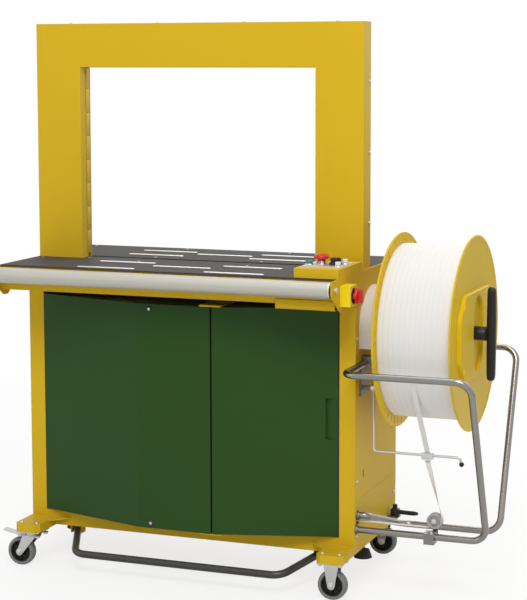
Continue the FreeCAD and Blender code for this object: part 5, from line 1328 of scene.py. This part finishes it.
@dataclass
class Controls:
    """Buttons, dial, their bezels and scale, and the main switch's handle."""

    panel_z: float = 832.0
    start: Pair = (361.0, -172.0)
    stop: Pair = (386.0, -155.0)
    dial: Pair = (423.0, -158.0)
    feed: Pair = (437.0, -128.0)
    retract: Pair = (440.0, -191.0)
    switch: Point = (481.0, -195.0, 764.0)
    scale_start: float = 225.0
    scale_step: float = 27.0
    scale_radius: float = 18.6
    number_radius: float = 22.4
    number_size: float = 5.4
    lobe: Pair = (16.0, 2.9)

    def build(self) -> None:
        """Make every piece of the controls."""
        self._stop()
        self._dial()
        self._small_buttons()
        self._scale()
        self._switch()
        spots = [((x, y, self.panel_z - 0.1), Axis.Z) for x in (357.0, 445.0)
                 for y in (-200.0, -105.0)]
        Repeater.spots("panel_corner_screws", socket_screw(2.6, 1.4), spots)

    def _stop(self) -> None:
        """Red mushroom head over a bright collar."""
        (x, y), z = self.stop, self.panel_z
        cap = [(0.0, 25.0), (6.0, 24.8), (11.0, 24.2), (15.2, 22.8), (17.8, 20.6), (18.9, 18.0),
               (18.8, 15.6), (17.6, 14.2), (14.0, 13.8), (9.6, 13.8), (9.6, 4.6), (0.0, 4.6)]
        collar = [(10.2, 0.0), (14.8, 0.0), (14.8, 2.4), (13.6, 3.4), (12.2, 4.0), (12.2, 7.2),
                  (11.6, 7.8), (10.2, 7.8)]
        shape = Shape().turned(cap, (x, y, z), Axis.Z, 64)
        shape.keep("stop_mushroom", RED_PLASTIC, "stop_button", "stop_button")
        mark = Shape().slab((-0.35, -1.4, -0.2), (0.35, 1.4, 0.5), 0.15, 1)
        Repeater.ring("stop_grip_marks", mark, 24, 18.75, (x, y, z + 17.0), Axis.Z, RED_PLASTIC,
                      "stop_button")
        shape = Shape().turned(collar, (x, y, z), Axis.Z, closed=True)
        shape.keep("stop_collar", CHROME)

    def _dial(self) -> None:
        """Fluted tension dial with a pointer."""
        (x, y), z = self.dial, self.panel_z
        profile = [(0.0, 17.2), (9.8, 17.2), (11.2, 16.4), (11.8, 14.8), (12.6, 6.0),
                   (15.4, 4.4), (15.9, 3.2), (15.9, 1.0), (15.2, 0.6), (0.0, 0.6)]
        shape = Shape().turned(profile, (x, y, z), Axis.Z, 64)
        shape.keep("dial_body", BLACK_PLASTIC, "tension_dial", "tension_dial")
        flute = Shape().slab((-0.6, -0.55, -4.6), (0.6, 0.55, 4.6), 0.3)
        Repeater.ring("dial_flutes", flute, 28, 12.2, (x, y, z + 10.6), Axis.Z, BLACK_PLASTIC,
                      "tension_dial")
        pointer = Shape()
        for near, far, low in ((2.0, 10.6, 17.0), (12.2, 15.2, 4.6)):
            pointer.slab((x - 0.7, y + near, z + low), (x + 0.7, y + far, z + low + 0.6), 0.2, 1)
        pointer.keep("dial_pointer", WHITE_PLASTIC, "tension_dial")

    def _small_buttons(self) -> None:
        """Round caps with a dished face, and their bright bezels."""
        for name, place, r, rise, finish in (
            ("start_button", self.start, 8.0, 10.0, GREEN_PLASTIC),
            ("feed_button", self.feed, 7.0, 11.0, WHITE_PLASTIC),
            ("retract_button", self.retract, 7.0, 11.0, WHITE_PLASTIC),
        ):
            cap = [(0.0, rise - 0.8), (r - 2.6, rise - 0.6), (r - 1.2, rise),
                   (r - 0.3, rise - 0.5), (r, rise - 1.4), (r, 3.4), (0.0, 3.4)]
            bezel = [(r + 0.35, 0.0), (r + 2.6, 0.0), (r + 2.6, 1.0), (r + 1.8, 2.2),
                     (r + 0.9, 2.6), (r + 0.35, 2.2)]
            centre = (*place, self.panel_z)
            shape = Shape().turned(cap, centre, Axis.Z, 40)
            shape.keep(f"{name}_cap", finish, name, name)
            shape = Shape().turned(bezel, centre, Axis.Z, 40, closed=True)
            shape.keep(f"{name}_bezel", CHROME)

    def _mark(self, number: int, radius: float) -> tuple[float, float, float]:
        """Place and angle of a scale mark on the panel."""
        angle = math.radians(self.scale_start - self.scale_step * number)
        dx, dy = polar(radius, angle)
        return self.dial[0] + dx, self.dial[1] + dy, angle

    def _scale(self) -> None:
        """Scale lines and numbers around the dial."""
        lines, z = Shape(), self.panel_z
        for k in range(11):
            x, y, angle = self._mark(k, self.scale_radius)
            lines.slab((x - 1.2, y - 0.25, z - 0.1), (x + 1.2, y + 0.25, z + 0.15), 0.05, 1,
                       Matrix.Rotation(angle, 4, "Z"))
        lines.keep("dial_scale", BLACK_PLASTIC)
        numbers = Shape()
        for k in (0, 2, 5, 8):
            x, y, _ = self._mark(k, self.number_radius)
            mesh = self._number(str(k), x, y)
            numbers.mesh.from_mesh(mesh)
            bpy.data.meshes.remove(mesh)
        numbers.keep("dial_numbers", BLACK_PLASTIC)

    def _number(self, text: str, x: float, y: float) -> bpy.types.Mesh:
        """Mesh of one raised number on the panel.

        Args:
            text: The digits.
            x: Middle of the number.
            y: Middle of the number.

        Returns:
            Its mesh, in place.
        """
        curve = bpy.data.curves.new(f"digit_{text}", "FONT")
        curve.body = text
        curve.size = self.number_size * MM
        curve.extrude = 0.1 * MM
        curve.align_x = curve.align_y = "CENTER"
        curve.resolution_u = 3
        holder = linked(f"digit_{text}", curve)
        graph = bpy.context.evaluated_depsgraph_get()
        mesh = bpy.data.meshes.new_from_object(holder.evaluated_get(graph))
        mesh.materials.clear()
        mesh.transform(Matrix.Translation((x * MM, y * MM, (self.panel_z + 0.05) * MM)))
        bpy.data.objects.remove(holder, do_unlink=True)
        bpy.data.curves.remove(curve)
        return mesh

    def _switch(self) -> None:
        """Four-lobed red handle with a raised grip on the yellow switch housing."""
        x, y, z = self.switch
        mean, swing = self.lobe
        turns = [math.tau * k / 72 for k in range(72)]
        lobes = [polar(mean + swing * math.cos(4 * a), a) for a in turns]
        handle = Shape().plate(lobes, 9.0, (x + 3.0, y, z), Axis.X, 1.6, 3)
        handle.slab((x + 11.0, y - 4.2, z - 15.8), (x + 22.6, y + 4.2, z + 15.8), 2.2, 3)
        stem = [(0.0, -11.0), (8.0, -11.0), (8.0, 3.4), (0.0, 3.4)]
        handle.turned(stem, (x, y, z), Axis.X, 32)
        handle.keep("switch_handle", RED_PLASTIC, "switch_knob", "switch_knob")
        ring = [(8.8, 0.0), (19.4, 0.0), (19.4, 1.6), (18.6, 2.4), (8.8, 2.4)]
        shape = Shape().turned(ring, (x, y, z), Axis.X, 56, closed=True)
        shape.keep("switch_ring", BLACK_PLASTIC)
        corners = [((x, y + dy, z + dz), Axis.X) for dy in (-21.0, 21.0) for dz in (-21.0, 21.0)]
        Repeater.spots("switch_screws", slotted_screw(2.4), corners)


@dataclass
class StrapReel:
    """Rims, ribs and hub details of the reel, its wound coil and the T-handled nut."""

    y: float = 40.0
    z: float = 652.0
    inner_x: float = 529.0
    outer_x: float = 719.0
    flange_radius: float = 244.0
    coil_left: float = 532.3
    coil_right: float = 715.7
    coil_radius: float = 217.0
    core_radius: float = 100.0
    coil_ledge: float = 176.0
    strap_width: float = 13.0
    middle_rise: float = 10.0
    middle_half: Pair = (172.0, 108.0)
    middle_corner: float = 226.0
    boss_half: Pair = (138.0, 78.0)
    opening_half: Pair = (46.0, 48.0)
    grip_half: float = 116.6
    grip_size: Pair = (11.4, 13.4)
    housing_z: float = 660.0
    housing_screws: float = 84.0

    def build(self) -> None:
        """Make every piece of the reel."""
        self._rims()
        self._raised_middle()
        self._ribs()
        self._coil()
        self._nut()
        self._housing()

    def _at(self, x: float) -> Point:
        """Point on the reel's axis."""
        return (x, self.y, self.z)

    def _rims(self) -> None:
        """Rolled bead around the inner flange, and the whole outer flange."""
        r = self.flange_radius
        bead = [(r - 7.0, 0.0), (r - 6.2, 1.2), (r - 4.6, 2.0), (r - 2.6, 2.2), (r - 1.0, 1.6),
                (r - 0.1, 0.2), (r, -1.6), (r - 0.6, -3.0), (r - 2.0, -3.2), (r - 7.0, -0.6)]
        disc = [(15.6, -3.0), (15.6, 0.0), (r - 60.0, 0.0), (r - 20.0, 0.5), (r - 8.0, 0.9),
                (r - 6.0, 1.8), (r - 3.6, 2.3), (r - 1.4, 1.7), (r - 0.1, 0.2), (r - 0.1, -1.8),
                (r - 1.2, -2.8), (r - 3.0, -3.0)]
        shape = Shape().turned(bead, self._at(self.inner_x), Axis.NEG_X, 144, closed=True)
        shape.keep("flange_bead_inner", REEL_YELLOW, "reel")
        shape = Shape().turned(disc, self._at(self.outer_x), Axis.X, 144, closed=True)
        shape.keep("outer_flange", REEL_YELLOW, "reel", "reel_outer")

    def _raised_middle(self) -> None:
        """Raised middle of the outer flange, its grip opening, bosses and the nut's sleeve."""
        rise, count = self.middle_rise, 96
        outside = ((0.0, -0.3), (0.4, rise - 1.6), (2.0, rise))
        inside = ((1.6, rise), (0.3, rise - 1.2), (0.0, -0.3))
        steps = [(self._plateau, -edge, height) for edge, height in outside]
        steps += [(self._opening, edge, height) for edge, height in inside]
        rings = []
        for reach, change, height in steps:
            turns = [math.tau * k / count for k in range(count)]
            points = [polar(reach(a) + change, a) for a in turns]
            rings.append([(up, across, height) for across, up in points])
        place = Matrix.Translation(self._at(self.outer_x)) @ Axis.X.turn()
        Shape().loft(rings, place, looped=True).keep("flange_middle", REEL_YELLOW, "reel")
        dome = [(9.0, -0.3), (8.6, 1.2), (7.0, 2.6), (4.0, 3.4), (0.0, 3.6), (0.0, -0.3)]
        across, up = self.boss_half
        spots = [((self.outer_x + rise, self.y + dy, self.z + dz), Axis.X)
                 for dy in (-across, across) for dz in (-up, up)]
        Repeater.spots("flange_bosses", Shape().turned(dome, ORIGIN, Axis.Z, 24), spots,
                       REEL_YELLOW, "reel")
        sleeve = [(15.4, -1.0), (17.3, -1.0), (17.3, 8.0), (15.4, 8.0)]
        shape = Shape().turned(sleeve, self._at(self.outer_x), Axis.X, 40, closed=True)
        shape.keep("nut_sleeve", BLACK_PLASTIC, "reel")

    def _plateau(self, angle: float) -> float:
        """Distance from the axis to the raised middle's edge, at an angle from front-to-back."""
        across, up = abs(math.cos(angle)), abs(math.sin(angle))
        wide, high = self.middle_half
        return 1.0 / max(across / wide, up / high, (across + up) / self.middle_corner)

    def _opening(self, angle: float) -> float:
        """Distance from the axis to the grip opening's edge, at an angle from front-to-back."""
        across, up = abs(math.cos(angle)), abs(math.sin(angle))
        half, straight = self.opening_half
        if up * half <= across * straight:
            return half / across
        return straight * up + math.sqrt(half ** 2 - (straight * across) ** 2)

    def _ribs(self) -> None:
        """Moulded ribs on both sides of the inner flange."""
        face = self._at(self.inner_x + 3.0)
        rib = Shape().slab((-7.0, -1.1, -0.4), (7.0, 1.1, 1.3), 0.5)
        Repeater.ring("rim_ribs", rib, 48, 228.0, face, Axis.X, REEL_YELLOW, "reel")
        ledge = [(218.6, -0.2), (220.4, -0.2), (220.4, 1.3), (219.8, 1.7), (218.6, 1.7)]
        shape = Shape().turned(ledge, face, Axis.X, 120, closed=True)
        shape.keep("rim_ledge", REEL_YELLOW, "reel")
        rib = Shape().slab((-62.0, -1.5, -0.4), (62.0, 1.5, 2.0), 0.8)
        Repeater.ring("inner_flange_ribs", rib, 12, 170.0, self._at(self.inner_x), Axis.NEG_X,
                      REEL_YELLOW, "reel")

    def _coil(self) -> None:
        """Wound strap: rows side by side with a fine groove between, and layers on the faces."""
        width = self.coil_right - self.coil_left
        rows = round(width / (self.strap_width + 0.1))
        pitch = width / rows
        rng = random.Random(13)
        r, core, ledge = self.coil_radius, self.core_radius, self.coil_ledge
        layer, recess = 4.0, 2.6
        outer = []
        for k in range(rows):
            lift = rng.uniform(-0.1, 0.0)
            start, end = k * pitch, (k + 1) * pitch
            outer += [(r - 0.2 + lift, start + 0.1), (r + lift, start + 0.8),
                      (r + lift, end - 0.8), (r - 0.2 + lift, end - 0.1)]
        outer[0], outer[-1] = (outer[0][0], 0.0), (outer[-1][0], width)
        face_high = [(r - 1.0 - layer * k, width - (0.25 if k % 2 else 0.0))
                     for k in range(1, int((r - ledge) / layer))]
        face_low = [(radius, width - height) for radius, height in reversed(face_high)]
        inward = [(ledge, width), (ledge - 1.0, width - recess), (core, width - recess)]
        profile = [*outer, *face_high, *inward, (core, 0.0), (ledge, 0.0), *face_low]
        shape = Shape().turned(profile, self._at(self.coil_left), Axis.X, 160, closed=True)
        shape.keep("wound_strap", STRAP_WHITE, "reel", "strap_coil")
        card = [(core + 1.5, -0.4), (ledge - 2.0, -0.4), (ledge - 1.6, -0.9),
                (ledge - 2.4, -2.1), (core + 1.5, -2.1)]
        shape = Shape().turned(card, self._at(self.coil_right), Axis.X, 96, closed=True)
        shape.keep("coil_end_disc", REEL_YELLOW, "reel")

    def _nut(self) -> None:
        """Black nut with a long T-shaped grip, rounded like a rolling pin."""
        hub = [(0.0, 22.0), (16.0, 22.0), (17.0, 20.0), (17.4, 3.0), (17.4, 0.6), (16.8, 0.0),
               (0.0, 0.0)]
        shape = Shape().turned(hub, self._at(727.4), Axis.X)
        shape.slab((741.0, self.y - 9.5, self.z - 17.0), (760.0, self.y + 9.5, self.z + 17.0),
                   4.0, 3)
        ends = ((1.0, 0.45), (0.985, 0.68), (0.95, 0.84), (0.88, 0.93), (0.7, 0.96), (0.35, 1.0))
        steps = [*((-share, taper) for share, taper in ends), (0.0, 1.0), *reversed(ends)]
        deep, wide = self.grip_size
        turns = [math.tau * k / 28 for k in range(28)]
        rings = [[(bulged(math.cos(a), 0.75) * (deep * taper),
                   bulged(math.sin(a), 0.75) * (wide * taper), share * self.grip_half)
                  for a in turns] for share, taper in steps]
        shape.loft(rings, Matrix.Translation(self._at(762.0)))
        shape.keep("t_handle_nut", BLACK_PLASTIC, "wing_nut", "wing_nut")

    def _around_housing(self, x: float, radius: float, degrees: float) -> Point:
        """Point at a distance from the bearing housing's axis."""
        across, up = polar(radius, math.radians(degrees))
        return (x, self.y + across, self.housing_z + up)

    def _housing(self) -> None:
        """Screws around the reel's bearing housing, and the rim of its sheet."""
        spots = [(self._around_housing(520.0, self.housing_screws, a), Axis.X)
                 for a in (30.0, 90.0, 150.0)]
        Repeater.spots("housing_screws", socket_screw(4.4, 2.8), spots)
        lip = [(98.6, 66.4), (101.2, 67.2), (102.2, 66.0), (102.2, 64.4), (100.6, 64.0)]
        rings = [[self._around_housing(452.0 + x, r, -18.0 + 216.0 * k / 40) for r, x in lip]
                 for k in range(41)]
        Shape().loft(rings).keep("housing_rim", HOUSING_PAINT)


@dataclass
class GuardAndStrapPath:
    """Clamp bolts on the reel guard, the guide arm's eyelet ring, the pulley and the lever."""

    clamp_y: Pair = (-28.0, 220.0)
    clamp_x: float = 476.0
    clamp_z: float = 576.0
    wall_x: float = 452.0
    pulley: Point = (652.0, -68.0, 198.0)
    eyelet: Point = (624.0, -45.2, 352.0)
    arm_pivot: Point = (491.0, -35.0, 512.0)
    arm_tip: Point = (709.0, -35.0, 336.0)
    lever: Point = (470.0, 200.0, 137.2)

    def build(self) -> None:
        """Make every piece of the guard and the strap's path."""
        self._clamps()
        self._pulley()
        self._arm()
        self._lever()

    def _clamps(self) -> None:
        """Bolts on the two upper clamps and the pulley's clamp, and the tubes' end rings."""
        spots = [((self.clamp_x, y + dy, self.clamp_z + dz), Axis.X) for y in self.clamp_y
                 for dy in (-8.0, 8.0) for dz in (-11.0, 11.0)]
        Repeater.spots("guard_clamp_bolts", socket_screw(3.2, 2.6), spots)
        spots = [((x, -94.0, 172.0), Axis.Z) for x in (636.0, 650.0)]
        Repeater.spots("pulley_clamp_bolts", hex_bolt(7.0, 4.0), spots)
        ring = [(8.7, 4.8), (11.6, 4.8), (11.6, 5.6), (11.0, 6.4), (9.2, 6.4), (8.7, 6.0)]
        rings = Shape()
        for y, z in ((-80.0, 160.0), (-68.0, 194.0)):
            rings.turned(ring, (self.wall_x, y, z), Axis.X, 36, closed=True)
        rings.keep("guard_end_rings", TUBE_CHROME)

    def _pulley(self) -> None:
        """Flanged pulley with ribs on its web, and its bolt."""
        x, y, z = self.pulley
        profile = mirrored(
            [(4.1, -8.6), (7.0, -8.6), (7.4, -5.0), (13.0, -5.0), (14.5, -8.8), (18.9, -8.8),
             (19.4, -8.2), (19.2, -7.4)], (17.1, -6.9), (17.0, 6.9))
        shape = Shape().turned(profile, self.pulley, Axis.Y, 56, closed=True)
        shape.keep("strap_wheel", WHEEL_PLASTIC, "strap_pulley", "strap_pulley")
        rib = Shape().slab((-3.4, -0.7, -6.8), (3.4, 0.7, 6.8), 0.4)
        Repeater.ring("strap_wheel_ribs", rib, 6, 10.2, self.pulley, Axis.Y, WHEEL_PLASTIC,
                      "strap_pulley")
        spots = [((x, y - 11.0, z), Axis.NEG_Y)]
        Repeater.spots("strap_wheel_bolt", hex_bolt(8.0, 3.0), spots)

    def _arm(self) -> None:
        """White ring in the arm's eyelet, the pivot's end nut and the knob at the tip."""
        x, y, z = self.eyelet
        turns = [math.tau * k / 40 for k in range(40)]
        loop = [(x + bulged(math.cos(a), 0.6) * 10.6, y + bulged(math.sin(a), 0.6) * 4.6, z - 7.6)
                for a in turns]
        shape = Shape().tube(loop, 1.7, 10, closed=True)
        shape.keep("eyelet_ring", WHITE_PLASTIC, "guide_arm")
        Repeater.spots("arm_pivot_nut", hex_bolt(9.0, 4.0), [(self.arm_pivot, Axis.X)])
        knob = mirrored([(0.0, -6.4), (3.4, -5.6), (5.6, -3.0)], (6.3, 0.0))
        shape = Shape().turned(knob, self.arm_tip, Axis.Z, 28)
        shape.keep("arm_tip_knob", BLACK_PLASTIC, "guide_arm")

    def _lever(self) -> None:
        """Rounded handle, button and skirt of the clamping lever."""
        x, y, z = self.lever
        skirt = [(3.1, 126.2), (12.2, 126.2), (12.8, 128.0), (12.6, 139.0), (11.4, 143.2),
                 (8.0, 146.2), (6.2, 147.4), (6.4, 155.2), (5.2, 156.9), (0.0, 157.0),
                 (0.0, 147.0), (3.1, 146.0)]
        shape = Shape().turned(skirt, (x, y, 0.0), Axis.Z, 40)
        turns = [math.tau * k / 24 for k in range(24)]
        rings = []
        for along, wide, deep, drop in (
            (0.0, 8.4, 7.6, 0.0), (14.0, 6.6, 6.2, 0.2), (28.0, 6.0, 5.6, 0.6),
            (42.0, 6.3, 5.9, 0.8), (54.0, 6.0, 5.6, 0.8), (61.0, 4.2, 4.0, 0.8),
            (63.6, 1.6, 1.6, 0.8),
        ):
            rings.append([(x + along, y + wide * math.cos(a), z - drop + deep * math.sin(a))
                          for a in turns])
        shape.loft(rings).keep("lever_handle", BLACK_PLASTIC, "clamp_lever", "clamp_lever")


@dataclass
class Inside:
    """Details of the sealing head, the drives, the strap box and the control cabinet."""

    motor_y: float = 120.0
    motor_z: float = 440.0
    motor_radius: float = 45.0
    fan_x: float = 356.0
    head_y: float = 16.0
    cam_z: float = 650.0
    belt_x: float = 139.0
    cam_pulley: float = 32.0
    motor_pulley: float = 20.0
    tooth_pitch: float = 8.0
    spring_turns: int = 8
    feed_x: float = 230.0
    pool_y: float = -68.0
    fold_rise: float = 13.0

    def build(self) -> None:
        """Make every piece of the inside."""
        self._motor()
        self._head()
        self._belt()
        self._pulleys()
        self._rollers()
        self._cabinet()
        self._pool()

    def _motor(self) -> None:
        """Cooling fins, fan cover and terminal box of the drive motor."""
        y, z = self.motor_y, self.motor_z
        fin = Shape().slab((-3.5, -0.8, -46.0), (4.5, 0.8, 46.0), 0.3, 1)
        Repeater.ring("motor_fins", fin, 32, self.motor_radius + 2.0, (252.0, y, z), Axis.X,
                      CASTING)
        cowl = [(0.0, 0.0), (40.0, 0.0), (46.0, -2.0), (48.5, -6.0), (48.5, -30.0),
                (47.0, -30.0), (45.2, -6.0), (0.0, -2.0)]
        shape = Shape().turned(cowl, (self.fan_x, y, z), Axis.X)
        shape.keep("motor_fan_cover", GREY_PAINT)
        bar = Shape().slab((-9.0, -1.0, -0.2), (9.0, 1.0, 0.8), 0.3, 1)
        Repeater.ring("fan_cover_bars", bar, 20, 24.0, (self.fan_x, y, z), Axis.X, BLACK_PLASTIC)
        box = Shape().slab((222.0, y - 26.0, z + 44.0), (282.0, y + 26.0, z + 72.0), 2.4, 3)
        box.keep("terminal_box", BLACK_PLASTIC)

    def _head(self) -> None:
        """Bolts of the head's casting, teeth on the grippers and the heater's spring."""
        spots = [((x, -14.0, z), Axis.NEG_Y) for x in (-90.0, -30.0, 30.0, 90.0)
                 for z in (614.0, 778.0)]
        spots += [((side * 110.0, y, 690.0), axis) for side, axis in ENDS_X for y in (-4.0, 36.0)]
        Repeater.spots("head_bolts", hex_bolt(9.0, 5.0), spots)
        for name, x in (("left_gripper", -48.0), ("right_gripper", 48.0)):
            tooth = Shape().slab((-17.5, -0.35, -0.2), (17.5, 0.35, 0.5), 0.12, 1)
            Repeater.row(f"{name}_teeth", tooth, 9, (x, 6.4, 788.0), (0.0, 2.4, 0.0), body=name)
        per_turn = 14
        count = self.spring_turns * per_turn
        coil = []
        for k in range(count + 1):
            dx, dy = polar(5.2, math.tau * k / per_turn)
            coil.append((dx - 28.0, 126.0 + dy, 758.0 + 34.0 * k / count))
        Shape().tube(coil, 0.8, 7).keep("heater_spring", STEEL)

    def _belt(self) -> None:
        """Teeth on the inner face of the drive belt's two straight runs."""
        y1, z1, big = self.head_y, self.cam_z, self.cam_pulley
        y2, z2, small = self.motor_y, self.motor_z, self.motor_pulley
        length = math.hypot(y2 - y1, z2 - z1)
        run = math.sqrt(length ** 2 - (big - small) ** 2)
        ay, az = (y2 - y1) / length, (z2 - z1) / length
        lean = math.asin((big - small) / length)
        spots = []
        for sign in (1, -1):
            ny = -az * sign * math.cos(lean) + ay * math.sin(lean)
            nz = ay * sign * math.cos(lean) + az * math.sin(lean)
            dy = (y2 + ny * small - y1 - ny * big) / run
            dz = (z2 + nz * small - z1 - nz * big) / run
            for k in range(1, int(run / self.tooth_pitch) - 1):
                reach, off = self.tooth_pitch * (k + 0.5), big + 0.6
                spots.append(((self.belt_x, y1 + ny * off + dy * reach,
                               z1 + nz * off + dz * reach), Axis.X))
        tooth = [(0.0, -5.6), (1.5, -5.6), (1.5, 5.6), (0.0, 5.6)]
        Repeater.spots("belt_teeth", Shape().turned(tooth, ORIGIN, Axis.Z, 10), spots,
                       BLACK_RUBBER)

    def _pulleys(self) -> None:
        """Teeth and flange of the belt's two pulleys."""
        for name, body, r, y, z in (
            ("cam_pulley", "cam_shaft", self.cam_pulley, self.head_y, self.cam_z),
            ("motor_pulley", "motor_pulley", self.motor_pulley, self.motor_y, self.motor_z),
        ):
            centre = (self.belt_x, y, z)
            tooth = Shape().slab((-0.6, -1.3, -5.4), (0.25, 1.3, 5.4), 0.3, 1)
            Repeater.ring(f"{name}_teeth", tooth, int(r * 0.8), r - 0.3, centre, Axis.X,
                          ROLLER_METAL, body)
            flange = [(r - 6.0, 6.3), (r + 3.6, 6.3), (r + 4.2, 6.9), (r + 3.6, 7.4),
                      (r - 6.0, 7.4)]
            shape = Shape().turned(flange, centre, Axis.X, closed=True)
            shape.keep(f"{name}_flange", STEEL, body)

    def _rollers(self) -> None:
        """Knurled grip on the feed roller, end caps of both rollers and the plate's bolts."""
        knurl = Shape().slab((-0.7, -0.8, -8.2), (0.5, 0.8, 8.2), 0.3, 1)
        Repeater.ring("feed_roller_knurls", knurl, 72, 29.8, (self.feed_x, -62.0, 650.0), Axis.Y,
                      BLACK_RUBBER, "feed_roller")
        for name, r, z in (("feed_roller", 30.0, 650.0), ("pinch_roller", 18.0, 600.9)):
            cap = [(5.2, 0.0), (r * 0.62, 0.0), (r * 0.66, 0.5), (r * 0.62, 1.2), (5.2, 1.2)]
            shape = Shape().turned(cap, (self.feed_x, -71.0, z), Axis.NEG_Y, 40, closed=True)
            shape.keep(f"{name}_cap", STEEL, name)
        spots = [((x, -50.0, z), Axis.NEG_Y) for x in (164.0, 316.0)
                 for z in (556.0, 660.0, 768.0)]
        Repeater.spots("feed_plate_bolts", hex_bolt(9.0, 5.0), spots)

    def _cabinet(self) -> None:
        """Lid screws, cable glands and vents of the control cabinet."""
        spots = [((x, 38.0, z), Axis.NEG_Y) for x in (-392.0, -158.0)
                 for z in (372.0, 481.0, 591.0)]
        Repeater.spots("cabinet_screws", socket_screw(3.6, 2.2), spots)
        gland = [(0.0, 0.0), (9.0, 0.0), (9.0, 4.0), (7.4, 4.6), (7.4, 10.0), (6.0, 12.0),
                 (3.0, 12.4), (0.0, 12.4)]
        Repeater.row("cabinet_glands", Shape().turned(gland, ORIGIN, Axis.Z, 24), 5,
                     (-340.0, 120.0, 600.0), (34.0, 0.0, 0.0), BLACK_PLASTIC)
        fin = Shape().slab((-22.0, -0.6, -0.4), (22.0, 1.2, 1.8), 0.4, 1)
        Repeater.row("cabinet_vents", fin, 8, (-275.0, 37.6, 400.0), (0.0, 0.0, 9.0), GREY_PAINT)

    def _pool(self) -> None:
        """Spare strap lying in loose folds in the strap box."""
        rng = random.Random(7)
        rise, steps = self.fold_rise, 16
        path = []
        for k in range(9):
            level = 146.0 + rise * k + rng.uniform(-2.0, 2.0)
            left, right = 160.0 + rng.uniform(0.0, 20.0), 380.0 - rng.uniform(0.0, 22.0)
            start, end = (left, right) if k % 2 == 0 else (right, left)
            for j in range(steps + 1):
                t = j / steps
                x = start + (end - start) * (0.5 - 0.5 * math.cos(math.pi * t))
                wave = 4.0 * math.sin(math.tau * t) * rng.uniform(0.9, 1.0)
                path.append((x, self.pool_y, level + rise * t + wave))
        shape = Shape().ribbon(path, Vector((0.0, 6.5, 0.0)), 0.8)
        shape.keep("spare_strap_folds", STRAP_WHITE)


def dress_nodes(frame: dict) -> None:
    """Give every CAD node the material of its finish.
    """
    for name, obj in frame["nodes"].items():
        finish = NODE_FINISH[name]
        LOG.info("%s gets %s", name, finish.name)
        obj.data.materials.clear()
        obj.data.materials.append(finish.material())
    LOG.info("%d CAD nodes dressed", len(frame["nodes"]))


def main() -> None:
    """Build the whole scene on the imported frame."""
    logging.basicConfig(level=logging.INFO, format="%(name)s: %(message)s")
    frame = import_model()
    bpy.context.scene.view_settings.view_transform = "Standard"
    Studio().build()
    dress_nodes(frame)
    for assembly in (Casters(), BaseAndBody(), Covers(), Table(), Arch(), Controls(), StrapReel(),
                     GuardAndStrapPath(), Inside()):
        assembly.build()
        LOG.info("%s done", type(assembly).__name__)


if __name__ == "__main__":
    main()
